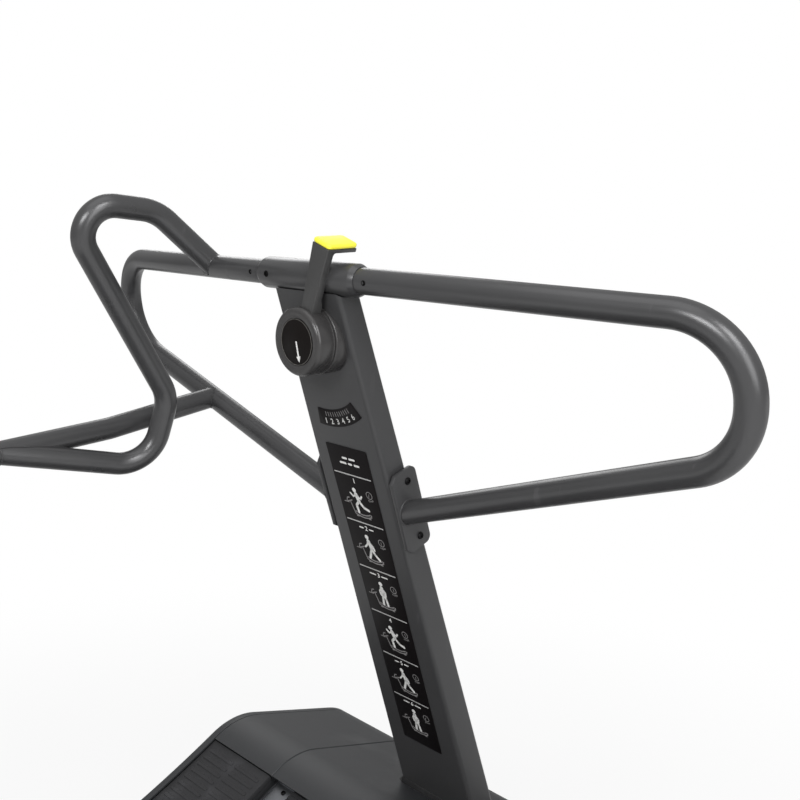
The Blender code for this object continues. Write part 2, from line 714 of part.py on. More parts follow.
def make_feet_and_wheels():
    top = RAIL_BOTTOM + STEM_LENGTH / 2
    r = FOOT_RADIUS
    profile = [(0, 0), (r - 0.002, 0), (r, 0.003), (r, 0.010), (r / 2, 0.015), (STEM_RADIUS, 0.015),
               (STEM_RADIUS, top), (0, top)]
    for end, y in (("front", FOOT_Y), ("rear", -FOOT_Y)):
        for side, x in (("left", -rail_x()), ("right", rail_x())):
            bm = bmesh.new()
            add_lathe(bm, profile, 12)
            solid("foot_%s_%s" % (end, side), bm, "foot_rubber", location=(x, y, 0))
    inner = rail_x() + RAIL_WIDTH / 2 + 0.004
    outer = inner + WHEEL_WIDTH
    head, end = outer + 0.0015, outer + 0.0065
    cap = AXLE_RADIUS + 0.004
    bm = bmesh.new()
    add_lathe(bm, [(0, -end), (cap, -end), (cap, -head), (AXLE_RADIUS, -head), (AXLE_RADIUS, head), (cap, head),
                   (cap, end), (0, end)], 12, "X", (0, FRONT_BEAM_Y, wheel_z()))
    solid("wheel_axle", bm, "steel")
    for name, side in (("wheel_left", -1), ("wheel_right", 1)):
        bm = bmesh.new()
        low, high = sorted((side * inner, side * outer))
        add_ring(bm, WHEEL_RADIUS, round_bore(AXLE_RADIUS, 20), low, high, 20, "X")
        solid(name, bm, "foot_rubber", location=(0, FRONT_BEAM_Y, wheel_z()))


def make_rear_handle():
    start = REAR_BEAM_Y - BEAM_WIDTH / 2 - TOUCH
    back = -LENGTH / 2 + REAR_HANDLE_RADIUS
    w = REAR_HANDLE_HALF_WIDTH
    corners = [(-w, start, REAR_HANDLE_Z), (-w, back, REAR_HANDLE_Z), (w, back, REAR_HANDLE_Z),
               (w, start, REAR_HANDLE_Z)]
    curve_tube("rear_handle", rounded_path(corners, 0.035), REAR_HANDLE_RADIUS, "tube_paint")


# Steps and covers
def make_steps(path):
    strip = upper_strip(path, STEP_HEIGHT - STEP_THICKNESS, STEP_HEIGHT, STEP_REAR, STEP_FRONT)
    outer = COVER_WIDTH / 2 - COVER_RIM - COVER_GAP
    for name, side in (("step_left", -1), ("step_right", 1)):
        bm = bmesh.new()
        low, high = sorted((side * STEP_INNER_X, side * outer))
        add_prism(bm, strip, low, high)
        solid(name, bm, "step_rubber", smooth=False)


def make_side_covers(path):
    margin = STEP_HEIGHT + COVER_RISE
    front = LENGTH / 2
    outer = machine_outline(path, margin, COVER_BOTTOM, front)
    inner = machine_outline(path, margin - COVER_WALL, COVER_BOTTOM + COVER_WALL, front - COVER_WALL)
    wide = COVER_WIDTH / 2
    for name, side in (("side_cover_left", -1), ("side_cover_right", 1)):
        bm = bmesh.new()
        add_loft(bm, [[(side * x, y, z) for y, z in ring] for x, ring in (
            (wide, outer), (wide - COVER_RIM, outer), (wide - COVER_RIM, inner), (wide - COVER_WALL, inner))])
        solid(name, bm, "cover_plastic")


def make_end_covers(path, mast_cutter):
    margin = STEP_HEIGHT + COVER_RISE
    half = COVER_WIDTH / 2 - COVER_RIM - COVER_GAP

    def band(points):
        outline = points(margin, 0) + points(margin - COVER_WALL, COVER_WALL)[::-1]
        bm = bmesh.new()
        add_prism(bm, outline, -half, half)
        return bm

    def front_line(height, inset):
        end = track_angle(path, STEP_FRONT + COVER_GAP)
        running = arc(path.upper, TRACK_RADIUS - height, path.track_front, end, 2)
        return nose_points(path, height, COVER_BOTTOM, LENGTH / 2 - inset) + running[1:]

    def rear_line(height, inset):
        start = track_angle(path, STEP_REAR - COVER_GAP)
        running = arc(path.upper, TRACK_RADIUS - height, start, path.track_rear, 2)
        return running[:-1] + tail_points(path, height, REAR_COVER_BOTTOM)

    cut(solid("front_cover", band(front_line), "cover_plastic"), mast_cutter)
    solid("rear_cover", band(rear_line), "cover_plastic")


# Mast
def mast_size(up):
    """Width and depth of the mast at a height along it, counted from the selector."""
    top = BAR_ABOVE_KNOB
    part = (top - up) / MAST_LENGTH
    width = MAST_TOP_WIDTH + (MAST_FOOT_WIDTH - MAST_TOP_WIDTH) * part
    depth = MAST_TOP_DEPTH + (MAST_FOOT_DEPTH - MAST_TOP_DEPTH) * part
    return width, depth


def mast_ring(up, grow, corner, steps=2):
    """Rounded rectangle of the mast's section; grow moves every wall outwards."""
    width, depth = mast_size(up)
    x, y0, y1 = width / 2 + grow, -grow, depth + grow
    ring = []
    for cx, cy, start in ((x - corner, y1 - corner, 0), (corner - x, y1 - corner, 90),
                          (corner - x, y0 + corner, 180), (x - corner, y0 + corner, 270)):
        for i in range(steps + 1):
            turn = math.radians(start + 90 * i / steps)
            ring.append((cx + corner * math.cos(turn), cy + corner * math.sin(turn), up))
    return ring


def mast_foot_height():
    return RAIL_BOTTOM + RAIL_HEIGHT + TOUCH + MAST_FOOT_PLATE[2]


def make_mast_frame():
    """Empty at the selector's place on the mast face: its Z runs up the mast and its Y away from the runner."""
    rise = KNOB_HEIGHT - mast_foot_height()
    y = FRONT_BEAM_Y - rise * math.tan(MAST_LEAN) - MAST_FOOT_DEPTH / 2 / math.cos(MAST_LEAN)
    return empty("mast_frame", location=(0, y, KNOB_HEIGHT), rotation=(MAST_LEAN, 0, 0))


def make_mast(frame):
    top = BAR_ABOVE_KNOB
    ends = (top - MAST_LENGTH, top)
    bm = bmesh.new()
    outer = [mast_ring(up, 0, MAST_CORNER) for up in ends]
    inner = [mast_ring(up, -MAST_WALL, MAST_CORNER - MAST_WALL) for up in ends]
    add_sleeve(bm, outer, inner)
    mast = solid("mast", bm, "mast_paint", parent=frame)
    bar_y = MAST_TOP_DEPTH / 2
    reach = MAST_TOP_WIDTH
    saddle = (SLEEVE_RADIUS + TOUCH) / math.cos(math.pi / 24)
    cut(mast,
        rod_between("mast_saddle", (-reach, bar_y, top), (reach, bar_y, top), saddle, parent=frame),
        box_cutter("mast_floor", (-0.2, FRONT_BEAM_Y - 0.2, -0.2),
                   (0.2, FRONT_BEAM_Y + 0.2, mast_foot_height() - MAST_FOOT_PLATE[2] / 2)),
        rod_between("mast_cable_hole", (0.05, *mast_cable_point()), (0.12, *mast_cable_point()), 0.006, 12))
    wide = MAST_FOOT_WIDTH
    for name, up in (("upper", PLATE_BOLT_SPREAD), ("lower", -PLATE_BOLT_SPREAD)):
        line = [(x, PLATE_BOLT_DEPTH, up - PLATE_BELOW_KNOB) for x in (-wide, wide)]
        cut(mast, rod_between("mast_bolt_hole_" + name, *line, PLATE_BOLT_RADIUS + 0.0005, 12, frame))
    foot_w, foot_d, foot_t = MAST_FOOT_PLATE
    foot = box_cutter("mast_foot_plate", (-foot_w / 2, FRONT_BEAM_Y - foot_d / 2, mast_foot_height() - foot_t),
                      (foot_w / 2, FRONT_BEAM_Y + foot_d / 2, mast_foot_height()))
    boolean(mast, foot, "UNION")
    bm = bmesh.new()
    add_loft(bm, [mast_ring(up, 0.003, MAST_CORNER) for up in ends])
    cutter = solid("mast_clearance", bm, "steel", parent=frame)
    return mast, cutter


def mast_axis_y(z):
    """Y of the mast's middle line at a height over the floor."""
    front = KNOB_POINT.y + (KNOB_HEIGHT - z) * math.tan(MAST_LEAN)
    depth = mast_size((z - KNOB_HEIGHT) / math.cos(MAST_LEAN))[1]
    return front + depth / 2 / math.cos(MAST_LEAN)


def mast_cable_point():
    z = 0.30
    return mast_axis_y(z), z


# Handlebar
def bar_point(x):
    """Middle of the top bar at a distance from the mast, in the mast frame."""
    side = math.copysign(1, x)
    kink = SLEEVE_HALF_LENGTH + 0.005
    part = max(0, (abs(x) - kink) / (LOOP_REACH - kink))
    return Vector((side * abs(x), MAST_TOP_DEPTH / 2 + LOOP_SWEEP * part, BAR_ABOVE_KNOB - LOOP_DROP * part))


def loop_corners(side):
    top = bar_point(side * LOOP_REACH)
    low = top + Vector((0, -LOOP_SWEEP + LOOP_LOWER_SWEEP, -LOOP_SIDE_HEIGHT))
    end = Vector((side * (plate_x() + PLATE_THICKNESS), MAST_TOP_DEPTH / 2, -PLATE_BELOW_KNOB))
    return top, low, end


def plate_x():
    return mast_size(-PLATE_BELOW_KNOB - PLATE_LENGTH / 2)[0] / 2 + TOUCH


def make_handlebar(frame):
    bm = bmesh.new()
    r, c, half = SLEEVE_RADIUS, SLEEVE_CHAMFER, SLEEVE_HALF_LENGTH
    bore = round_bore(TUBE_RADIUS, 20)
    add_lathe(bm, [(bore, -half), (r - c, -half), (r, c - half), (r, half - c), (r - c, half), (bore, half)], 20, "X")
    solid("top_sleeve", bm, "tube_paint", parent=frame, location=(0, MAST_TOP_DEPTH / 2, BAR_ABOVE_KNOB))
    face = plate_x() + PLATE_THICKNESS + TOUCH
    for name, side in (("handle_loop_left", -1), ("handle_loop_right", 1)):
        top, low, end = loop_corners(side)
        inside = end + (end - low).normalized() * 0.02
        kink = bar_point(side * (SLEEVE_HALF_LENGTH + 0.005))
        start = Vector((side * 0.004, kink.y, kink.z))
        bend = rounded_path([kink, top, low, inside], LOOP_BEND)
        loop = curve_tube(name, [start] + bend, TUBE_RADIUS, "tube_paint", wall=TUBE_WALL, parent=frame)
        low_x, high_x = sorted((0, side * face))
        cut(loop, box_cutter(name + "_end", (low_x, -0.1, -PLATE_BELOW_KNOB - LOOP_END_REACH),
                             (high_x, 0.15, -PLATE_BELOW_KNOB + LOOP_END_REACH), parent=frame))


def make_loop_plates(frame):
    """Plates that hold the loops' lower ends, clamped on the mast by two bolts that run right through it."""
    half, low_y, high_y, c = PLATE_LENGTH / 2, 0.0, PLATE_WIDTH, PLATE_CORNER
    outline = [(low_y + c, -half), (high_y - c, -half), (high_y - 0.3 * c, 0.3 * c - half), (high_y, c - half),
               (high_y, half - c), (high_y - 0.3 * c, half - 0.3 * c), (high_y - c, half), (low_y + c, half),
               (low_y, half - c), (low_y, c - half)]
    outline = [(y, z - PLATE_BELOW_KNOB) for y, z in outline]
    outer = plate_x() + PLATE_THICKNESS
    bolts = [(name, up - PLATE_BELOW_KNOB) for name, up in (("upper", PLATE_BOLT_SPREAD), ("lower", -PLATE_BOLT_SPREAD))]
    for name, side in (("loop_plate_left", -1), ("loop_plate_right", 1)):
        bm = bmesh.new()
        low, high = sorted((side * plate_x(), side * outer))
        add_prism(bm, outline, low, high)
        plate = solid(name, bm, "mast_paint", parent=frame)
        for bolt, up in bolts:
            line = [(side * x, PLATE_BOLT_DEPTH, up) for x in (plate_x() - 0.01, outer + 0.01)]
            cut(plate, rod_between(name + "_hole_" + bolt, *line, PLATE_BOLT_RADIUS + 0.0005, 12, frame))
    near = outer + TOUCH
    far = near + PLATE_BOLT_HEAD
    r, head = PLATE_BOLT_RADIUS, PLATE_BOLT_HEAD_RADIUS
    for bolt, up in bolts:
        bm = bmesh.new()
        add_lathe(bm, [(0, -far), (head, -far), (head, -near), (r, -near), (r, near), (head, near), (head, far),
                       (0, far)], 10, "X")
        solid("plate_bolt_" + bolt, bm, "steel", parent=frame, location=(0, PLATE_BOLT_DEPTH, up))


# Left grab handle and side rail
def in_world(frame_point):
    """A point of the mast frame in world coordinates."""
    y, z = frame_point.y, frame_point.z
    c, s = math.cos(MAST_LEAN), math.sin(MAST_LEAN)
    return Vector((frame_point.x, KNOB_POINT.y + y * c - z * s, KNOB_POINT.z + y * s + z * c))


def lower_tube_point(x):
    top, low, end = loop_corners(-1)
    part = (x - low.x) / (end.x - low.x)
    return in_world(low + (end - low) * part)


def make_side_handles():
    clear = (TUBE_RADIUS + TOUCH) / math.cos(math.pi / 24)
    rail_start = lower_tube_point(RAIL_START_X)
    corner = KNOB_POINT + Vector(RAIL_CORNER)
    knee = KNOB_POINT + Vector(RAIL_KNEE)
    foot_top = outrigger_top() + TOUCH
    leg_top = Vector((RAIL_LEG_X, RAIL_LEG_Y, RAIL_LEG_TOP))
    leg_foot = Vector((RAIL_LEG_X, RAIL_LEG_Y, foot_top))
    path = rounded_path([rail_start, corner, knee, leg_top, leg_foot], RAIL_BEND)
    rail = curve_tube("side_rail_left", path, TUBE_RADIUS, "tube_paint", wall=TUBE_WALL)
    _, low, end = loop_corners(-1)
    cut(rail, rod_between("rail_notch", in_world(low), in_world(end), clear))

    meet_part = (KNOB_POINT.y + RAIL_MEET_GRAB_Y - corner.y) / (knee.y - corner.y)
    meet = corner + (knee - corner) * meet_part
    start = in_world(bar_point(GRAB_START_X))
    corners = [start] + [KNOB_POINT + Vector(c) for c in GRAB_CORNERS] + [meet]
    grab = curve_tube("grab_handle_left", rounded_path(corners, GRAB_BEND), TUBE_RADIUS, "tube_paint", wall=TUBE_WALL)
    bar_in = in_world(bar_point(GRAB_START_X + GRAB_NOTCH_REACH))
    bar_out = in_world(bar_point(GRAB_START_X - GRAB_NOTCH_REACH))
    cut(grab, rod_between("grab_notch", bar_in, bar_out, clear), rod_between("grab_meet", corner, knee, clear))


# Selector
def make_selector(frame):
    """Everything of the selector stands on an empty whose Z is the turning axis, towards the runner."""
    knob = empty("selector_axis", frame, (KNOB_SIDE, 0, KNOB_UP), (math.pi / 2 - KNOB_TILT, 0, 0))
    bm = bmesh.new()
    add_ring(bm, KNOB_BASE_RADIUS, round_bore(SELECTOR_SHAFT_RADIUS, 28), -0.03, KNOB_BASE_TOP, 28)
    base = solid("selector_base", bm, "knob_plastic", parent=knob)
    cut(base, box_cutter("base_seat", (-0.1, -TOUCH, -0.1), (0.1, 0.1, 0.1), parent=frame))

    bore = round_bore(SELECTOR_SHAFT_RADIUS, 28)
    back = KNOB_BASE_TOP + TOUCH
    shaft_front = back + 0.012
    recess = KNOB_FACE - DIAL_THICKNESS - TOUCH
    rim = KNOB_FACE - 0.0005
    bm = bmesh.new()
    add_lathe(bm, [(0, shaft_front + TOUCH), (bore, shaft_front + TOUCH), (bore, back), (KNOB_RADIUS, back),
                   (KNOB_RADIUS, KNOB_SHOULDER), (KNOB_RADIUS - KNOB_RIM, rim), (DIAL_RADIUS + 0.0006, rim),
                   (DIAL_RADIUS + 0.0006, recess), (0, recess)], 28)
    solid("selector_knob", bm, "knob_plastic", parent=knob)
    bm = bmesh.new()
    add_rod(bm, DIAL_RADIUS, recess + TOUCH, KNOB_FACE, 28)
    solid("dial_face", bm, "dial_black", parent=knob)
    bm = bmesh.new()
    add_rod(bm, SELECTOR_SHAFT_RADIUS, -(CAM_DEPTH + CAM_THICKNESS), shaft_front, 14)
    solid("selector_shaft", bm, "steel", parent=knob)
    hole = rod_between("mast_shaft_hole", (0, 0, -0.012), (0, 0, 0.03), SELECTOR_SHAFT_RADIUS + 0.001, 16, knob)
    cut(bpy.data.objects["mast"], hole)
    make_cam(knob)
    make_lever(knob)
    make_plaques(frame)


def make_cam(knob):
    bore = round_bore(SELECTOR_SHAFT_RADIUS, 20)
    low, high = -CAM_DEPTH - CAM_THICKNESS / 2, -CAM_DEPTH + CAM_THICKNESS / 2
    groove = (-CAM_DEPTH - CAM_GROOVE / 2, -CAM_DEPTH + CAM_GROOVE / 2)
    bm = bmesh.new()
    add_lathe(bm, [(bore, low), (CAM_RADIUS, low), (CAM_RADIUS, groove[0]), (CAM_GROOVE_RADIUS, groove[0]),
                   (CAM_GROOVE_RADIUS, groove[1]), (CAM_RADIUS, groove[1]), (CAM_RADIUS, high), (bore, high)], 20)
    solid("cable_cam", bm, "steel", parent=knob)


def make_lever(knob):
    """The bent lever runs outwards from the knob along the Y of its own empty."""
    arm = empty("lever_frame", knob, rotation=(0, 0, -LEVER_LEAN))
    root = KNOB_RADIUS - 0.007
    front, back = LEVER_FRONT, LEVER_FRONT - PLATFORM_LENGTH
    under = LEVER_TOP - PLATFORM_THICKNESS
    web = sleeve_front() + LEVER_CLEARANCE
    deep = front - LEVER_ROOT_DEPTH
    side = [(root, front), (LEVER_TOP, front), (LEVER_TOP, back), (under, back), (under, web - 0.006),
            (under - 0.008, web), (root + 2 * LEVER_ROOT_STEP, web), (root + LEVER_ROOT_STEP, deep), (root, deep)]

    def half_width(y):
        part = (y - root) / (LEVER_TOP - root)
        return (LEVER_ROOT_WIDTH + (LEVER_TOP_WIDTH - LEVER_ROOT_WIDTH) * part) / 2

    bm = bmesh.new()
    add_loft(bm, [[(sign * half_width(y), y, z) for y, z in side] for sign in (-1, 1)])
    lever = solid("selector_lever", bm, "knob_plastic", smooth=False, parent=arm)
    clear = (KNOB_RADIUS + TOUCH) / math.cos(math.pi / 28)
    cut(lever, rod_between("lever_root", (0, 0, 0), (0, 0, 0.06), clear, 28, arm))
    bm = bmesh.new()
    low = LEVER_TOP + TOUCH
    add_box(bm, (-CAP_WIDTH / 2, low, back - 0.0005), (CAP_WIDTH / 2, low + CAP_THICKNESS, front + 0.0005))
    cap = solid("lever_cap", bm, "cap_yellow", smooth=False, parent=arm)
    edge = cap.modifiers.new("edges", "BEVEL")
    edge.width = 0.0015
    edge.segments = 1


def sleeve_front():
    """How far the top sleeve stands towards the runner, along the selector's axis."""
    bar = in_world(Vector((0, MAST_TOP_DEPTH / 2, BAR_ABOVE_KNOB)))
    hub = in_world(Vector((KNOB_SIDE, 0, KNOB_UP)))
    return hub.y - bar.y + SLEEVE_RADIUS


def make_plaques(frame):
    """Thin plates on the mast face: the selector's scale and the exercise chart."""
    bm = bmesh.new()
    centre = (KNOB_SIDE, KNOB_UP)
    low, high = -math.pi / 2 - SCALE_HALF_ANGLE, -math.pi / 2 + SCALE_HALF_ANGLE
    outline = arc(centre, SCALE_OUTER, low, high, 8) + arc(centre, SCALE_INNER, high, low, 8)
    add_loft(bm, [[(x, y, z) for x, z in outline] for y in (-TOUCH - PLAQUE_THICKNESS, -TOUCH)])
    solid("scale_plaque", bm, "plaque_black", smooth=False, parent=frame)
    bm = bmesh.new()
    half = PLAQUE_WIDTH / 2
    add_box(bm, (-half, -TOUCH - PLAQUE_THICKNESS, -PLAQUE_TOP - PLAQUE_LENGTH), (half, -TOUCH, -PLAQUE_TOP))
    solid("chart_plaque", bm, "plaque_black", smooth=False, parent=frame)


# Brake
def make_brake():
    axis = (0, FLYWHEEL_Y, FLYWHEEL_Z)
    wheel = empty("flywheel_axis", location=axis)
    bm = bmesh.new()
    add_ring(bm, FLYWHEEL_RADIUS, round_bore(FLYWHEEL_SHAFT_RADIUS, 28), FLYWHEEL_X, FLYWHEEL_X + FLYWHEEL_THICKNESS,
             28, "X")
    solid("flywheel", bm, "slat_aluminium", parent=wheel)
    near = SIDE_PLATE_X + SIDE_PLATE_THICKNESS + 2 * TOUCH
    far = FLYWHEEL_X + FLYWHEEL_THICKNESS + 0.005
    r = FLYWHEEL_SHAFT_RADIUS
    bm = bmesh.new()
    add_lathe(bm, [(0, near), (r, near), (r, DRIVE_X), (SMALL_PULLEY_RADIUS, DRIVE_X),
                   (SMALL_PULLEY_RADIUS, DRIVE_X + DRIVE_WIDTH), (r, DRIVE_X + DRIVE_WIDTH), (r, far), (0, far)], 16, "X")
    solid("flywheel_shaft", bm, "steel", parent=wheel)
    make_brake_belt()
    make_carriage()
    make_brake_bracket()


def make_drive_pulley(front_axle):
    bm = bmesh.new()
    add_ring(bm, DRIVE_PULLEY_RADIUS, round_bore(SHAFT_RADIUS, 24), DRIVE_X, DRIVE_X + DRIVE_WIDTH, 24, "X")
    solid("drive_pulley", bm, "cover_plastic", parent=front_axle)


def make_brake_belt():
    big, small = Vector((FRONT_DRUM_Y, FRONT_DRUM_Z)), Vector((FLYWHEEL_Y, FLYWHEEL_Z))
    span = small - big
    heading = math.atan2(span.y, span.x)
    lean = math.acos((DRIVE_PULLEY_RADIUS - SMALL_PULLEY_RADIUS) / span.length)

    def ring(grow):
        first = arc(big, DRIVE_PULLEY_RADIUS + grow, heading + lean, heading + 2 * math.pi - lean, 16)
        second = arc(small, SMALL_PULLEY_RADIUS + grow, heading - lean, heading + lean, 8)
        return first + second

    inner, outer = ring(DRIVE_BELT_PLAY), ring(DRIVE_BELT_PLAY + DRIVE_BELT_THICKNESS)
    ends = (DRIVE_X + 0.001, DRIVE_X + DRIVE_WIDTH - 0.001)
    bm = bmesh.new()
    add_sleeve(bm, [[(e, y, z) for y, z in outer] for e in ends], [[(e, y, z) for y, z in inner] for e in ends])
    solid("brake_belt", bm, "belt_rubber")


def make_carriage():
    """Caliper that swings off the flywheel's rim, hung on its pivot empty."""
    hub = empty("carriage_pivot", location=(0, PIVOT_Y, PIVOT_Z))
    play = CARRIAGE_SLOT_PLAY
    slot = (FLYWHEEL_X - play, FLYWHEEL_X + FLYWHEEL_THICKNESS + play)
    low, high = slot[0] - CARRIAGE_WALL, slot[1] + CARRIAGE_WALL
    reach = ANCHOR_REACH
    rim = FLYWHEEL_Y + FLYWHEEL_RADIUS - PIVOT_Y
    outline = [(-0.013, 0.013), (reach + 0.007, 0.010), (reach + 0.013, -0.007), (0.022, -0.015),
               (rim + 0.038, -0.065), (rim + 0.038, -0.130), (rim + 0.015, -0.145), (rim - 0.035, -0.135),
               (rim - 0.040, -0.070), (-0.018, -0.015)]
    bm = bmesh.new()
    add_prism(bm, outline, low, high)
    carriage = solid("magnet_carriage", bm, "steel", smooth=False, parent=hub)
    centre = (FLYWHEEL_Y - PIVOT_Y, FLYWHEEL_Z - PIVOT_Z)
    cut(carriage,
        rod_between("carriage_slot", (slot[0], *centre), (slot[1], *centre),
                    FLYWHEEL_RADIUS + CARRIAGE_SLOT_RIM, 48, hub),
        rod_between("carriage_bore", (low - 0.01, 0, 0), (high + 0.01, 0, 0), PIVOT_RADIUS + 0.0006, 12, hub),
        rod_between("anchor_hole", (cable_x(), reach, -0.03), (cable_x(), reach, 0.03),
                    ANCHOR_HOLE_RADIUS, 8, hub))
    inner = FLYWHEEL_RADIUS + CARRIAGE_SLOT_RIM - TOUCH - MAGNET_BRIDGE
    outer = FLYWHEEL_RADIUS + CARRIAGE_SLOT_RIM - TOUCH
    deep = FLYWHEEL_RADIUS - MAGNET_DEPTH
    left, right = slot[0] + TOUCH, slot[1] - TOUCH
    section = [(left, deep), (left, outer), (right, outer), (right, deep), (right - MAGNET_THICKNESS, deep),
               (right - MAGNET_THICKNESS, inner), (left + MAGNET_THICKNESS, inner), (left + MAGNET_THICKNESS, deep)]
    rings = []
    for i in range(5):
        turn = MAGNET_HALF_ANGLE * (i / 2 - 1)
        rings.append([(x, centre[0] + r * math.cos(turn), centre[1] + r * math.sin(turn)) for x, r in section])
    bm = bmesh.new()
    add_loft(bm, rings)
    solid("brake_magnet", bm, "magnet_nickel", parent=hub)


def cable_x():
    return FLYWHEEL_X + FLYWHEEL_THICKNESS / 2


def make_brake_bracket():
    base = RAIL_BOTTOM + RAIL_HEIGHT + TOUCH
    shelf = SHELF_Z + SHELF_THICKNESS
    anchor_y = PIVOT_Y + ANCHOR_REACH
    outline = [(PIVOT_Y - 0.020, base), (PIVOT_Y + 0.035, base), (PIVOT_Y + 0.035, PIVOT_Z - 0.02),
               (anchor_y + 0.015, SHELF_Z - 0.015), (anchor_y + 0.015, shelf), (PIVOT_Y, shelf),
               (PIVOT_Y - 0.020, PIVOT_Z + 0.01)]
    bm = bmesh.new()
    add_prism(bm, outline, BRACKET_X, BRACKET_X + BRACKET_THICKNESS)
    bracket = solid("brake_bracket", bm, "frame_paint", smooth=False)
    tab = box_cutter("bracket_shelf", (BRACKET_X + 0.001, anchor_y - 0.014, SHELF_Z),
                     (cable_x() + 0.012, anchor_y + 0.013, shelf))
    far = FLYWHEEL_X + FLYWHEEL_THICKNESS + CARRIAGE_SLOT_PLAY + CARRIAGE_WALL + 0.004
    pin = rod_between("bracket_pin", (BRACKET_X + 0.001, PIVOT_Y, PIVOT_Z), (far, PIVOT_Y, PIVOT_Z), PIVOT_RADIUS, 12)
    boolean(bracket, tab, "UNION")
    boolean(bracket, pin, "UNION")
    wire = Vector((cable_x(), anchor_y, SHELF_Z))
    cut(bracket, rod_between("shelf_hole", wire - Vector((0, 0, 0.01)), wire + Vector((0, 0, 0.01)), 0.002, 8))
    make_spring(anchor_y)


def make_spring(anchor_y):
    """Compression spring between the carriage's arm and the cable stop."""
    low = PIVOT_Z + 0.013 + SPRING_WIRE
    high = SHELF_Z - TOUCH - SPRING_WIRE
    steps = 8 * SPRING_TURNS
    points = []
    for i in range(steps + 1):
        turn = 2 * math.pi * i / 8
        points.append((cable_x() + SPRING_RADIUS * math.cos(turn), anchor_y + SPRING_RADIUS * math.sin(turn),
                       low + (high - low) * i / steps))
    curve_tube("carriage_spring", points, SPRING_WIRE, "steel", resolution=1)


def make_cable():
    """Cable from the cam down the mast, out through its side and over to the magnet carriage."""
    anchor_y = PIVOT_Y + ANCHOR_REACH
    top = SHELF_Z + SHELF_THICKNESS
    hole_y, hole_z = mast_cable_point()
    tangent = in_world(Vector((KNOB_SIDE, 0, KNOB_UP))) + Vector((cable_lever(), CAM_DEPTH, 0))
    cam_exit = tangent - Vector((0, 0, CAM_RADIUS + 0.003))
    wire_low = [Vector((cable_x(), anchor_y, PIVOT_Z - 0.004)), Vector((cable_x(), anchor_y, top + TOUCH))]
    inside = [in_world(Vector((tangent.x, y, up))) for y, up in CABLE_IN_MAST]
    casing = smooth_path([
        (cable_x(), anchor_y, top + 0.0015), (cable_x() - 0.002, anchor_y - 0.001, top + 0.010),
        (cable_x() - 0.018, anchor_y - 0.006, top + 0.019), (0.225, anchor_y - 0.018, top + 0.013),
        (0.165, hole_y + 0.035, hole_z + 0.020), (0.120, hole_y + 0.006, hole_z + 0.001), (0.080, hole_y, hole_z),
        (0.050, hole_y - 0.002, hole_z + 0.008), (0.030, mast_axis_y(hole_z + 0.04), hole_z + 0.04),
        (0.012, mast_axis_y(CABLE_RISE_Z), CABLE_RISE_Z)] + inside + [cam_exit - Vector((0, 0, 0.002))], 3)
    wire_top = [cam_exit, tangent]
    points = wire_low + casing + wire_top
    thin = WIRE_RADIUS / CABLE_RADIUS
    widths = [thin] * len(wire_low) + [1.0] * len(casing) + [thin] * len(wire_top)
    curve_tube("brake_cable", points, CABLE_RADIUS, "belt_rubber", resolution=2, widths=widths)


def cable_lever():
    """Distance of the cable from the cam's axis."""
    return CAM_GROOVE_RADIUS + TOUCH + WIRE_RADIUS


clear_scene()
belt_path = BeltPath()
mast_frame = make_mast_frame()
KNOB_POINT = mast_frame.location.copy()

make_slat_belt(belt_path)
make_roller_tracks(belt_path)
front_axle = make_axle(belt_path.front, "front", DRIVE_X + DRIVE_WIDTH + 0.004, "front_axle")
make_axle(belt_path.rear, "rear", SIDE_PLATE_X + SIDE_PLATE_THICKNESS + BEARING_WIDTH + 0.005, "rear_axle")
make_drive_pulley(front_axle)
make_bearings(belt_path)
make_side_plates(belt_path)
make_base(belt_path)
make_feet_and_wheels()
make_rear_handle()
make_steps(belt_path)
make_side_covers(belt_path)
_, mast_clearance = make_mast(mast_frame)
make_end_covers(belt_path, mast_clearance)
make_handlebar(mast_frame)
make_loop_plates(mast_frame)
make_side_handles()
make_selector(mast_frame)
make_brake()
make_cable()
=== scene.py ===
"""Looks of the curved slat-belt treadmill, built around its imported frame."""
import json
import math

import bmesh
import bpy
import numpy as np
from mathutils import Matrix, Vector

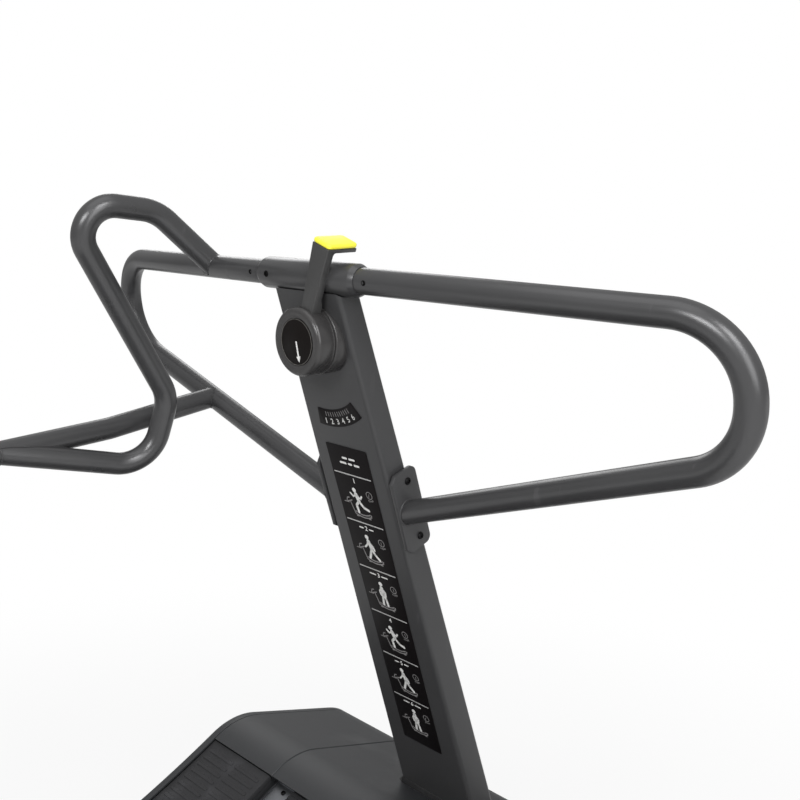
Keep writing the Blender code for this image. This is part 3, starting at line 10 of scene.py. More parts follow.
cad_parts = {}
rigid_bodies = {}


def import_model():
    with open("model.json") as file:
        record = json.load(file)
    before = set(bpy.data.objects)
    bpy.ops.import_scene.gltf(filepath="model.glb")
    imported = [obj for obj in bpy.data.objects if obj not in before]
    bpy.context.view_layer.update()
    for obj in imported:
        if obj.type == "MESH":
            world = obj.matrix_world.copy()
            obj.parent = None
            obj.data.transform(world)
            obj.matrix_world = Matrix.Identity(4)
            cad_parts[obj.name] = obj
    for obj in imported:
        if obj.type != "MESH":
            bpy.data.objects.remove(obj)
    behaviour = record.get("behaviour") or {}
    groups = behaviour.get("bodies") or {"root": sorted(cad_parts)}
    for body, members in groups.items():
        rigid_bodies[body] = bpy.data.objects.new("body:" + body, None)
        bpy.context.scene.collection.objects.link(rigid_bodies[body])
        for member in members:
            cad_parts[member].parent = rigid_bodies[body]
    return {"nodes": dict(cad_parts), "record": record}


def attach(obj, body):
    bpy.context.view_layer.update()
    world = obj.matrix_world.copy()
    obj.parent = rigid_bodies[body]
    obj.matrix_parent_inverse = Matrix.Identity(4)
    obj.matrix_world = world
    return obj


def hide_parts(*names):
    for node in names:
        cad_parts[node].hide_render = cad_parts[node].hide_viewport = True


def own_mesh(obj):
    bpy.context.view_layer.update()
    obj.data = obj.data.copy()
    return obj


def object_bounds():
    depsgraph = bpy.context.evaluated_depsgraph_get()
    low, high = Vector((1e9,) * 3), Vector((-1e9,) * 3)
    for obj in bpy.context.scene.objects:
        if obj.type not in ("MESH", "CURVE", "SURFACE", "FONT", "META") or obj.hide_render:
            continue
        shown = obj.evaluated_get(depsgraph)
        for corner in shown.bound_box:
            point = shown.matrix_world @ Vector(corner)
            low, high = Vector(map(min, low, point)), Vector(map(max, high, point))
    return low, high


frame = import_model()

CAD_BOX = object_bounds()
SIDES = (("left", -1), ("right", 1))
FULL = 2 * math.pi

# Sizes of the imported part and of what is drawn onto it, in metres
LENGTH = 1.78
COVER_WIDTH = 0.80
KNOB_HEIGHT = 1.22
DRUM_RADIUS = 0.080
FRONT_DRUM = Vector((0.60, 0.36))
REAR_DRUM = Vector((-0.70, 0.24))
TRACK_RADIUS = 1.90
SAG_RADIUS = 2.70
ROLLER_PITCH = 0.120
ROLLER_RAIL_X = (0.2287, 0.2347)
BELT_X = 0.200
BELT_WIDTH = 0.030
BELT_THICKNESS = 0.006
SLAT_HALF = 0.225
SLAT_PITCH = 0.060
SLAT_SPACE = 0.004
SLAT_THICKNESS = 0.016
GUIDE_HALF = 0.172
PAD_HALF = 0.184
PAD_RIDGES = 6
FLYWHEEL_CENTRE = (0.291, 0.70, 0.205)
RAIL_X = 0.2713
RAIL_MIDDLE = 0.065
RAIL_HALVES = (0.030, 0.025)
RAIL_ENDS = (-0.80, 0.875)
HANDLE_X = 0.12
HANDLE_HEIGHT = 0.068
HANDLE_START = -0.7653
HANDLE_RADIUS = 0.010
HANDLE_BEND = 0.035
FOOT_Y = 0.77
STEM_THREADS = 36
WHEEL_PLACE = (0, 0.835, 0.0525)
WHEEL_WIDTH = 0.024
STEP_HEIGHT = 0.0355
STEP_THICKNESS = 0.012
STEP_INNER_X = 0.232
STEP_ENDS = (-0.67, 0.56)
STEP_RIBS = 84
COVER_RISE = 0.0025
COVER_WALL = 0.003
COVER_RIM = 0.015
COVER_BOTTOM = 0.055
COVER_GAP = 0.0005
NOSE_ANGLE = math.radians(70)
NOSE_CORNER = 0.100
REAR_COVER_BOTTOM = 0.100
COVER_SCREW = (0.0042, 0.0020, 0.5)
COVER_SCREWS = 18
NOSE_CREASE_X = 0.225
TAIL_CREASE_X = 0.235
BOOT_SECTION = -0.80
BOOT_SEARCH = (-1.10, -0.70)
MAST_LEAN = math.radians(17)
MAST_WIDTHS = (0.1206, 0.1714)
MAST_DEPTHS = (0.0345, 0.0503)
MAST_LENGTH = 1.26
MAST_TOP = 0.080
MAST_CORNER = 0.006
MAST_FOOT_Y = 0.835
MAST_FOOT_HEIGHT = 0.0983
MAST_FOOT_PLATE = (0.110, 0.039, 0.0903)
MAST_BOLTS = ((-0.099, 0.099), (0.810, 0.860))
TUBE_RADIUS = 0.016
SLEEVE_RADIUS = 0.0203
SLEEVE_HALF = 0.090
SADDLE_GAP = 0.0013
LOOP_REACH = 0.541
LOOP_SWEEP = 0.053
LOOP_DROP = 0.0255
LOOP_SIDE_HEIGHT = 0.1375
LOOP_BEND = 0.082
LOOP_LOWER_SWEEP = 0.0285
PLATE_DOWN = 0.2475
PLATE_LENGTH = 0.119
PLATE_WIDTH = 0.046
PLATE_THICKNESS = 0.006
BOLT_SPREAD = 0.043
BOLT_DEPTH = 0.0275
GRAB_START_X = -0.230
GRAB_CORNERS = ((-0.245, -0.070, 0.157), (-0.262, -0.201, 0.175),
                (-0.285, -0.041, -0.110), (-0.300, -0.069, -0.212))
GRAB_BENDS = (0.060, 0.040, 0.056, 0.054)
SIDE_RAIL_CORNER = (-0.342, -0.106, -0.155)
SIDE_RAIL_KNEE = (-0.342, -0.640, -0.170)
SIDE_RAIL_MEET_Y = -0.270
SIDE_RAIL_LEG = (-0.430, -0.36)
SIDE_RAIL_TOP = 0.52
SIDE_RAIL_FOOT = 0.0553
SIDE_RAIL_BEND = 0.110
KNOB_SIDE = 0.008
KNOB_UP = 0.004
DIAL_RADIUS = 0.0291
LEVER_LEAN = math.radians(19.3)
LEVER_TOP = 0.1255
LEVER_WIDTHS = (0.0195, 0.029)
ARROW_TURN = math.radians(12)
SCALE_CENTRE = (-0.023, -0.010)
SCALE_RADII = (0.091, 0.116)
SCALE_ENDS = (-8, 38)
SCALE_FIGURE_RADIUS = 0.1085
SCALE_FIGURE_ENDS = (-0.5, 30.5)
SCALE_TICK_RADII = (0.0945, 0.1007)
SCALE_TICK_ENDS = (1.0, 29.0)
CHART_HALF = 0.039
CHART_TOP = 0.154
CHART_LENGTH = 0.530
CHART_LINES = (0.198, 0.275, 0.3545, 0.434, 0.5135, 0.593)
CAPTION_DOWN = 0.0088
CHART_TITLE = ((-0.1725, (0.010, 0.012)), (-0.1805, (0.013, 0.008, 0.011)))
CHART_LEVELS = (1, 2, 4, 5, 3, 0)
PLAQUE_FACE = 0.0009
INK_FACE = 0.00098
INK_DEPTH = 0.00012
HAIR = 0.0003

# Camera as fitted to the photo
CAMERA_PLACE = (0.9281, -0.3397, 1.4169)
CAMERA_TURN = (math.radians(90 - 12.59), 0, math.radians(44.21))
CAMERA_LENS = 44.235

KNOB_POINT = Vector((0, 0.46576, KNOB_HEIGHT))
MAST_PLACE = Matrix.Translation(KNOB_POINT) @ Matrix.Rotation(MAST_LEAN, 4, "X")
KNOB_PLACE = (MAST_PLACE @ Matrix.Translation((KNOB_SIDE, 0, KNOB_UP))
              @ Matrix.Rotation(math.radians(90) - MAST_LEAN, 4, "X"))
LEVER_PLACE = KNOB_PLACE @ Matrix.Rotation(-LEVER_LEAN, 4, "Z")
SLEEVE_PLACE = (0, MAST_DEPTHS[0] / 2, MAST_TOP)


# Node graphs
class Graph:
    """Adds nodes to a tree, with the values or links of their sockets and their settings."""

    def __init__(self, tree):
        self.tree = tree

    def node(self, kind, inputs=None, **settings):
        made = self.tree.nodes.new(kind)
        for key, value in settings.items():
            setattr(made, key, value)
        for key, value in (inputs or {}).items():
            if isinstance(value, Value):
                value = value.socket
            if isinstance(value, bpy.types.NodeSocket):
                self.tree.links.new(value, made.inputs[key])
            else:
                made.inputs[key].default_value = value
        return made

    def math(self, operation, *values):
        made = self.node("ShaderNodeMath", dict(enumerate(values)), operation=operation)
        return Value(self, made.outputs[0])


def operator(kind, swapped=False):
    """A method of Value that joins it with another value by a math node."""
    def joined(self, other):
        return self.graph.math(kind, *((other, self) if swapped else (self, other)))
    return joined


class Value:
    """A socket that takes part in sums and products."""

    def __init__(self, graph, socket):
        self.graph = graph
        self.socket = socket

    __add__ = operator("ADD")
    __radd__ = operator("ADD", True)
    __sub__ = operator("SUBTRACT")
    __rsub__ = operator("SUBTRACT", True)
    __mul__ = operator("MULTIPLY")
    larger = operator("MAXIMUM")

    def past(self, edge, width):
        """Rises smoothly from 0 to 1 over that width, starting at the edge."""
        span = {"Value": self, "From Min": edge, "From Max": edge + width}
        made = self.graph.node("ShaderNodeMapRange", span, interpolation_type="SMOOTHSTEP")
        return Value(self.graph, made.outputs[0])


class Finish(Graph):
    """A material whose patterns lie in object coordinates."""

    def __init__(self, name, colour, roughness, metallic=0.0, **sockets):
        self.material = bpy.data.materials.new(name)
        self.material.use_nodes = True
        super().__init__(self.material.node_tree)
        self.shader = self.tree.nodes["Principled BSDF"]
        self.colour = colour
        for key, value in {"Base_Color": (*colour, 1), "Roughness": roughness, "Metallic": metallic,
                           **sockets}.items():
            self.shader.inputs[key.replace("_", " ")].default_value = value

    def link(self, socket, value):
        self.tree.links.new(value.socket, self.shader.inputs[socket])

    def spot(self, stretch):
        place = self.node("ShaderNodeTexCoord").outputs["Object"]
        return self.node("ShaderNodeMapping", {"Vector": place, "Scale": stretch}).outputs[0]

    def noise(self, scale, detail=2.0, stretch=(1, 1, 1), rough=0.5):
        made = self.node("ShaderNodeTexNoise",
                         {"Vector": self.spot(stretch), "Scale": scale, "Detail": detail, "Roughness": rough})
        return Value(self, made.outputs[0])

    def cells(self, scale):
        made = self.node("ShaderNodeTexVoronoi", {"Vector": self.spot((1, 1, 1)), "Scale": scale})
        return Value(self, made.outputs["Distance"])

    def attribute(self, name):
        return Value(self, self.node("ShaderNodeAttribute", attribute_name=name).outputs["Fac"])

    def shade(self, factor, amount, under=None):
        """From the colour under it, or the finish's own, to its own made that much lighter or darker."""
        under = self.colour if under is None else under
        if not isinstance(under, Value):
            under = (*under, 1)
        made = self.node("ShaderNodeMix", {0: factor, 6: under, 7: (*scaled(self.colour, amount), 1)},
                         data_type="RGBA")
        return Value(self, made.outputs[2])

    def done(self, colour, roughness, height, strength, depth):
        """Links the varying sockets and gives the material."""
        self.link("Base Color", colour)
        self.link("Roughness", roughness)
        bump = self.node("ShaderNodeBump", {"Height": height, "Strength": strength, "Distance": depth})
        self.link("Normal", Value(self, bump.outputs[0]))
        return self.material


def tone(*levels):
    """A colour from display levels of 0 to 255."""
    parts = [level / 255 for level in levels]
    return tuple(part / 12.92 if part < 0.04045 else ((part + 0.055) / 1.055) ** 2.4 for part in parts)


def scaled(colour, amount):
    return tuple(min(1.0, part * amount) for part in colour)


def powder_coat(name, colour, roughness, metallic=0.0, grain=900, depth=0.00006, **sockets):
    """Baked paint: orange peel, clouds of tone, and faint long scuffs."""
    f = Finish(name, colour, roughness, metallic, **sockets)
    cloud = f.noise(11, 4)
    scuff = f.noise(60, 6, (1, 1, 0.15)).past(0.66, 0.05) * f.noise(5, 2).past(0.45, 0.2)
    tinted = f.shade(cloud, 1.14, scaled(colour, 0.88))
    return f.done(f.shade(scuff * 0.35, 1.9, tinted), roughness - 0.05 + cloud * 0.1 + scuff * 0.12,
                  f.noise(grain, 2), 0.35, depth)


def moulded(name, colour, roughness, grain=520, depth=0.00016):
    """Injection-moulded plastic with a spark-eroded skin, rubbed smoother in patches."""
    f = Finish(name, colour, roughness)
    fine = f.noise(grain * 2.3, 3)
    rub = f.noise(7, 5).past(0.52, 0.22)
    dust = f.noise(30, 6).past(0.60, 0.12) * f.noise(3, 1)
    return f.done(f.shade(dust * 0.18, 2.6, f.shade(rub, 1.25)),
                  roughness - rub * 0.10 + fine * 0.08 + dust * 0.08,
                  f.cells(grain) * 0.6 + fine * 0.4, 0.45, depth)


def rubber(name, colour, roughness=0.78, grain=700):
    """Matt rubber with bloom in the hollows and a slightly polished top."""
    f = Finish(name, colour, roughness)
    bloom = f.noise(24, 6, rough=0.6).past(0.48, 0.25)
    crumb = f.noise(grain, 4, rough=0.7)
    worn = f.noise(4, 3).past(0.5, 0.2)
    return f.done(f.shade(worn * 0.4, 0.75, f.shade(bloom, 1.7)), roughness - worn * 0.16 + crumb * 0.1,
                  crumb, 0.5, 0.0002)


def drawn_metal(name, colour, roughness, along, tint_name=None):
    """Drawn or turned metal: fine lines along one direction and blotches of oxide."""
    f = Finish(name, colour, roughness, 1.0)
    lines = f.noise(1500, 3, along)
    broad = f.noise(160, 3, along)
    blotch = f.noise(14, 5).past(0.45, 0.3)
    tinted = f.shade(broad * 0.3, 1.15, f.shade(blotch, 0.82))
    if tint_name:
        tinted = f.shade(f.attribute(tint_name) * 0.35, 0.7, tinted)
    return f.done(tinted, roughness - 0.06 + lines * 0.12 + blotch * 0.1, lines * 0.7 + broad * 0.3,
                  0.25, 0.00005)


def cast_metal(name, colour, roughness, metallic):
    """Cast or plated metal with a pebbled skin and darker hollows."""
    f = Finish(name, colour, roughness, metallic)
    pebble = f.noise(420, 4)
    stain = f.noise(26, 6).past(0.5, 0.2)
    return f.done(f.shade(stain, 0.62), roughness + stain * 0.15 - 0.04 + pebble * 0.08, pebble, 0.4, 0.0001)


def ink(name, *levels):
    """Screen-printed ink, a little thin in places."""
    colour = tone(*levels)
    f = Finish(name, colour, 0.55)
    thin = f.noise(700, 4).past(0.35, 0.4)
    return f.done(f.shade(thin, 1, scaled(colour, 0.86)), 0.55 + thin * 0.08, thin, 0.2, 0.00002)


def film(name, colour, roughness):
    """Printed film: smooth, with faint wipe marks."""
    f = Finish(name, colour, roughness, Specular_IOR_Level=0.1)
    wipe = f.noise(40, 6, (1, 1, 0.2)).past(0.5, 0.25)
    return f.done(f.shade(wipe * 0.4, 1.5), roughness - 0.04 + wipe * 0.12, f.noise(1200, 2), 0.2, 0.00003)


MAST_PAINT = powder_coat("mast_satin_paint", tone(63, 63, 64), 0.42, 0.1, Specular_IOR_Level=0.4)
TUBE_PAINT = powder_coat("tube_gloss_paint", tone(76, 76, 77), 0.29, 0.45, grain=700, depth=0.00003)
FRAME_PAINT = powder_coat("frame_black_paint", tone(58, 59, 61), 0.5, 0.1)
KNOB_PLASTIC = moulded("selector_grey_plastic", tone(56, 55, 55), 0.23, grain=1400, depth=0.00003)
LEVER_PAINT = powder_coat("lever_charcoal_paint", tone(67, 67, 67), 0.36, 0.2)
COVER_PLASTIC = moulded("cover_grained_plastic", tone(44, 45, 47), 0.5)
TRIM_PLASTIC = moulded("trim_black_plastic", tone(28, 28, 30), 0.42, grain=900, depth=0.00008)
STEP_GRIP = rubber("step_grip_rubber", tone(38, 38, 40))
PAD_RUBBER = rubber("slat_pad_rubber", tone(34, 34, 36), 0.82)
FOOT_RUBBER = rubber("foot_rubber", tone(30, 30, 31))
BELT_RUBBER = rubber("belt_rubber", tone(26, 26, 27), 0.7)
SLAT_METAL = drawn_metal("slat_anodised_aluminium", tone(150, 152, 156), 0.36, (0.02, 1, 1), "piece_tone")
SHAFT_STEEL = drawn_metal("turned_steel", tone(170, 172, 176), 0.28, (1, 0.05, 0.05))
ZINC = cast_metal("zinc_plated_steel", tone(172, 172, 170), 0.34, 1.0)
BLACK_STEEL = cast_metal("black_oxide_steel", tone(34, 34, 35), 0.42, 0.9)
CAST_IRON = cast_metal("cast_iron_paint", tone(62, 63, 66), 0.52, 0.5)
NICKEL = cast_metal("magnet_nickel", tone(190, 188, 182), 0.25, 1.0)
YELLOW = moulded("cap_yellow_plastic", tone(254, 243, 70), 0.38, grain=1600, depth=0.00002)
DIAL_BLACK = film("dial_black_film", tone(20, 17, 16), 0.45)
PLAQUE_BLACK = film("plaque_black_film", tone(17, 14, 15), 0.45)
# Near-black film for the set screws on the bar: dark screws with painted shade, standing for the shade inside
# the holes they sit in.
HOLE_SHADE_BLACK = film("socket_black", tone(6, 6, 6), 0.6)
WHITE_INK = ink("white_ink", 238, 238, 236)
PALE_INK = ink("pale_ink", 212, 212, 210)
GREY_INK = ink("grey_ink", 140, 138, 138)
DIM_INK = ink("dim_ink", 104, 102, 98)
LINE_INK = ink("line_ink", 196, 196, 195)


# Outlines
def arc(centre, radius, start, end, steps):
    turns = [start + (end - start) * i / steps for i in range(steps + 1)]
    return [(centre[0] + radius * math.cos(t), centre[1] + radius * math.sin(t)) for t in turns]


def disc(centre, radius, steps=20):
    return arc(centre, radius, 0, FULL, steps)[:-1]


def band(centre, inner, outer, start, end, steps):
    return arc(centre, outer, start, end, steps) + arc(centre, inner, end, start, steps)


def rectangle(a0, b0, a1, b1):
    return [(a0, b0), (a1, b0), (a1, b1), (a0, b1)]


def mirrored(points, first, second):
    """The points and then, backwards, their images with each coordinate times its sign."""
    return points + [(a * first, b * second) for a, b in points[::-1]]


def evenly(ends, count):
    return [ends[0] + (ends[1] - ends[0]) * i / (count - 1) for i in range(count)]


def rounded_path(corners, radius, step=math.radians(4)):
    """A line through corners, each inner corner an arc of the one radius or of its own from a list."""
    corners = [Vector(corner) for corner in corners]
    points = [corners[0]]
    radii = radius if isinstance(radius, (list, tuple)) else [radius] * len(corners)
    for before, corner, after, radius in zip(corners, corners[1:], corners[2:], radii):
        back = (before - corner).normalized()
        ahead = (after - corner).normalized()
        bend = math.pi - back.angle(ahead)
        centre = corner + (back + ahead).normalized() * (radius / math.cos(bend / 2))
        start = corner + back * radius * math.tan(bend / 2) - centre
        steps = max(1, math.ceil(bend / step - 0.01))
        for i in range(steps + 1):
            angle = bend * i / steps
            points.append(centre + start * math.cos(angle) - back * radius * math.sin(angle))
    return points + [corners[-1]]


def rounded_box(half, start, end, corner):
    """A box outline from -half to half and from start to end, with round corners."""
    corners = [(0, start, 0), (half, start, 0), (half, end, 0)]
    corners += [(-half, end, 0), (-half, start, 0), (0, start, 0)]
    return [(p.x, p.y) for p in rounded_path(corners, corner, math.radians(15))[:-1]]


# Shapes
def at_height(outline, height):
    return [(x, y, height) for x, y in outline]


def loft(rings, closed=False, bm=None):
    """Joins rings of equally many points, with end faces or round into itself."""
    bm = bmesh.new() if bm is None else bm
    loops = [[bm.verts.new(point) for point in ring] for ring in rings]
    count = len(loops[0])
    for first, second in zip(loops, loops[1:] + loops[:1] if closed else loops[1:]):
        for i in range(count):
            j = (i + 1) % count
            bm.faces.new((first[i], first[j], second[j], second[i]))
    if not closed:
        bm.faces.new(loops[0])
        bm.faces.new(loops[-1])
    return bm


def prism(outline, low, high, bm=None):
    """Runs a (y, z) outline along X."""
    return loft([[(x, y, z) for y, z in outline] for x in (low, high)], bm=bm)


def slab(outline, near, far, bm=None):
    """Runs an (x, z) outline along Y."""
    return loft([[(x, y, z) for x, z in outline] for y in (near, far)], bm=bm)


def block(low, high):
    return prism(rectangle(*low[1:], *high[1:]), low[0], high[0])


def turn(profile, sides=64, axis="Z", centre=(0, 0, 0)):
    """Turns (radius, height) points about an axis; a radius of 0 closes an end."""
    bm = bmesh.new()
    rings = []
    for radius, height in profile:
        ring = disc((0, 0), radius, sides)[:sides if radius else 1]
        spots_on = [(a, b, height) if axis == "Z" else (height, a, b) for a, b in ring]
        rings.append([bm.verts.new(Vector(point) + Vector(centre)) for point in spots_on])
    pairs = list(zip(rings, rings[1:]))
    if profile[0][0] > 0:
        pairs.append((rings[-1], rings[0]))
    for first, second in pairs:
        for i in range(sides):
            j = (i + 1) % sides
            a, b = len(first), len(second)
            bm.faces.new(list(dict.fromkeys([first[i % a], first[j % a], second[j % b], second[i % b]])))
    return bm


def gathered(parts):
    """One shape of (shape, place) pairs."""
    bm = bmesh.new()
    for part, place in parts:
        bmesh.ops.transform(part, matrix=place, verts=part.verts)
        mesh = bpy.data.meshes.new("part")
        part.to_mesh(mesh)
        part.free()
        bm.from_mesh(mesh)
    return bm


def button_screw(radius, height, socket=0.55):
    """A round screw head with a six-sided socket, standing on its own Z."""
    head = ((1, 0), (1, 0.35), (0.86, 0.8), (0.62, 1))
    rings = [at_height(disc((0, 0), radius * wide, 12), height * up) for wide, up in head]
    flats = (1, math.cos(math.pi / 6)) * 6
    for wide, up in ((socket, 1), (socket * 0.96, 0.35)):
        ring = disc((0, 0), radius * wide, 12)
        rings.append([(a * flat, b * flat, height * up) for (a, b), flat in zip(ring, flats)])
    return loft(rings)


def hex_bolt(radius, height):
    """A six-sided bolt head on a washer."""
    wide, low = radius * 1.35, height * 0.22
    bm = turn([(0, 0), (wide, 0), (wide, low), (0, low)], 24)
    head = ((radius, low), (radius, height * 0.92), (radius * 0.84, height))
    return loft([at_height(disc((0, 0), r, 6), z) for r, z in head], bm=bm)


# Pieces
def evaluated_mesh(obj):
    bpy.context.view_layer.update()
    return bpy.data.meshes.new_from_object(obj.evaluated_get(bpy.context.evaluated_depsgraph_get()))


def settle(obj):
    """Replaces the object's mesh by what its modifiers make of it."""
    made = evaluated_mesh(obj)
    obj.modifiers.clear()
    obj.data = made


def dress(obj, finish, body, slot=None, replaces=(), sharp=35):
    """Smooths, paints and hands a finished mesh to its body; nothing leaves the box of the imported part."""
    mesh = obj.data
    points = np.empty(len(mesh.vertices) * 3, np.float32)
    mesh.vertices.foreach_get("co", points)
    points = np.clip(points.reshape(-1, 3), *[np.array(corner, np.float32) for corner in CAD_BOX])
    mesh.vertices.foreach_set("co", points.ravel())
    mesh.materials.clear()
    mesh.materials.append(finish)
    mesh.shade_smooth()
    mesh.set_sharp_from_angle(angle=math.radians(sharp))
    mesh.update()
    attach(obj, body)
    if replaces:
        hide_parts(*replaces)
    return obj


def linked(name, data):
    obj = bpy.data.objects.new(name, data)
    bpy.context.scene.collection.objects.link(obj)
    return obj


def as_mesh(name, bm, place=None):
    """A closed mesh with outward faces, already in its place."""
    if place is not None:
        bmesh.ops.transform(bm, matrix=place, verts=bm.verts)
    bmesh.ops.remove_doubles(bm, verts=bm.verts, dist=1e-7)
    bmesh.ops.recalc_face_normals(bm, faces=bm.faces)
    mesh = bpy.data.meshes.new(name)
    bm.to_mesh(mesh)
    bm.free()
    return mesh


def piece(name, bm, finish, body="frame", place=None, bevel=0.0, segments=2, cutters=(), **rest):
    obj = linked(name, as_mesh(name, bm, place))
    for cutter in cutters:
        change = obj.modifiers.new("cut", "BOOLEAN")
        change.operation = "DIFFERENCE"
        change.solver = "EXACT"
        change.object = cutter
    if bevel:
        edge = obj.modifiers.new("edges", "BEVEL")
        edge.width = bevel
        edge.segments = segments
        edge.limit_method = "ANGLE"
        edge.angle_limit = math.radians(32)
    if obj.modifiers:
        settle(obj)
    for cutter in cutters:
        bpy.data.objects.remove(cutter)
    return dress(obj, finish, body, **rest)


def tool(bm, place=None):
    """A cutter for piece()."""
    obj = linked("cutter", as_mesh("cutter", bm, place))
    obj.hide_render = True
    return obj


# Geometry node recipes
class Recipe(Graph):
    """A Geometry Nodes tree with named inputs that are set by their identifiers."""

    def __init__(self, name, **inputs):
        super().__init__(bpy.data.node_groups.new(name, "GeometryNodeTree"))
        face = self.tree.interface
        face.new_socket("Geometry", in_out="INPUT", socket_type="NodeSocketGeometry")
        self.ids = {}
        for label, kind in {**inputs, "Finish": "Material"}.items():
            made = face.new_socket(label, in_out="INPUT", socket_type="NodeSocket" + kind)
            self.ids[label] = made.identifier
        face.new_socket("Geometry", in_out="OUTPUT", socket_type="NodeSocketGeometry")
        self.start = self.node("NodeGroupInput").outputs
        self.end = self.node("NodeGroupOutput")

    def first(self, kind, inputs, **settings):
        """The first output of a new node."""
        return self.node(kind, inputs, **settings).outputs[0]

    def line(self):
        return self.first("GeometryNodeMeshToCurve", {"Mesh": self.start["Geometry"]})

    def close(self, geometry):
        plain = self.first("GeometryNodeRealizeInstances", {0: geometry})
        painted = self.first("GeometryNodeSetMaterial", {"Geometry": plain, "Material": self.start["Finish"]})
        self.tree.links.new(painted, self.end.inputs[0])
        return self

    def close_copies(self, points, rotation):
        """Puts the shape on the points, each copy with a shade of its own."""
        shape = self.node("GeometryNodeObjectInfo", {"Object": self.start["Shape"]}).outputs["Geometry"]
        copies = self.first("GeometryNodeInstanceOnPoints",
                            {"Points": points, "Instance": shape, "Rotation": rotation})
        share = self.node("FunctionNodeRandomValue", {"Seed": 7}, data_type="FLOAT").outputs[1]
        return self.close(self.first("GeometryNodeStoreNamedAttribute",
                                     {"Geometry": copies, "Name": "piece_tone", "Value": share},
                                     data_type="FLOAT", domain="INSTANCE"))

    def run(self, name, mesh, finish, shape=None, **values):
        if shape is not None:
            values["Shape"] = linked("stock", as_mesh("stock", shape))
        obj = linked(name, mesh)
        change = obj.modifiers.new("recipe", "NODES")
        change.node_group = self.tree
        for label, value in {**values, "Finish": finish}.items():
            change[self.ids[label]] = value
        settle(obj)
        if shape is not None:
            bpy.data.objects.remove(values["Shape"])
        return obj


def tube_recipe():
    """A round tube with closed ends along a line."""
    r = Recipe("tube_along_line", Radius="Float", Sides="Int")
    section = r.first("GeometryNodeCurvePrimitiveCircle",
                      {"Resolution": r.start["Sides"], "Radius": r.start["Radius"]})
    return r.close(r.first("GeometryNodeCurveToMesh",
                           {"Curve": r.line(), "Profile Curve": section, "Fill Caps": True}))


def row_recipe():
    """Copies of a shape evenly along a line that lies in the (y, z) plane, each turned with the line."""
    r = Recipe("shapes_along_line", Shape="Object", Count="Int")
    path = {"Curve": r.line(), "Count": r.start["Count"]}
    stops = r.node("GeometryNodeCurveToPoints", path, mode="COUNT").outputs
    heading = r.node("ShaderNodeSeparateXYZ", {0: stops["Tangent"]}).outputs
    lean = r.first("ShaderNodeMath", {0: heading["Z"], 1: heading["Y"]}, operation="ARCTAN2")
    euler = r.first("ShaderNodeCombineXYZ", {"X": lean})
    return r.close_copies(stops["Points"], r.first("FunctionNodeEulerToRotation", {0: euler}))


def spots_recipe():
    """Copies of a shape on points, its Z along each point's facing, turned at random about it."""
    r = Recipe("shapes_on_points", Shape="Object", Turn="Float", Seed="Int")
    facing = r.first("GeometryNodeInputNamedAttribute", {"Name": "facing"}, data_type="FLOAT_VECTOR")
    stood = r.first("FunctionNodeAlignRotationToVector", {"Vector": facing}, axis="Z")
    twist = r.node("FunctionNodeRandomValue", {"Min": 0.0, 3: r.start["Turn"], "Seed": r.start["Seed"]},
                   data_type="FLOAT").outputs[1]
    about = r.first("FunctionNodeAxisAngleToRotation", {"Axis": (0, 0, 1), "Angle": twist})
    turned = r.first("FunctionNodeRotateRotation", {"Rotation": stood, "Rotate By": about},
                     rotation_space="LOCAL")
    points = r.first("GeometryNodeMeshToPoints", {"Mesh": r.start["Geometry"]})
    return r.close_copies(points, turned)


TUBE = tube_recipe()
ROW = row_recipe()
SPOTS = spots_recipe()


def point_mesh(name, points, edges=()):
    mesh = bpy.data.meshes.new(name)
    mesh.from_pydata([tuple(point) for point in points], edges, [])
    return mesh


def line_mesh(name, points, cyclic):
    count = len(points)
    return point_mesh(name, points, [(i, (i + 1) % count) for i in range(count if cyclic else count - 1)])


def tube(name, points, radius, finish=TUBE_PAINT, body="frame", sides=40, cyclic=False, place=None, **rest):
    """A bent tube along the points."""
    if place is not None:
        points = [place @ Vector(point) for point in points]
    obj = TUBE.run(name, line_mesh(name, points, cyclic), finish, Radius=radius, Sides=sides)
    bm = bmesh.new()
    bm.from_mesh(obj.data)
    bmesh.ops.recalc_face_normals(bm, faces=bm.faces)
    bm.to_mesh(obj.data)
    bm.free()
    return dress(obj, finish, body, **rest)


def row(name, shape, points, count, finish, body="frame", cyclic=False, place=None, **rest):
    """Copies of a shape along a line of the (y, z) plane."""
    obj = ROW.run(name, line_mesh(name, points, cyclic), finish, shape, Count=count)
    if place is not None:
        obj.data.transform(place)
    return dress(obj, finish, body, **rest)


def spots(name, shape, places, finish, seed=3, **rest):
    """Copies of a shape on (point, facing) pairs."""
    mesh = point_mesh(name, [point for point, _ in places])
    facing = mesh.attributes.new("facing", "FLOAT_VECTOR", "POINT")
    for i, (_, direction) in enumerate(places):
        facing.data[i].vector = direction
    return dress(SPOTS.run(name, mesh, finish, shape, Turn=FULL, Seed=seed), finish, "frame", **rest)


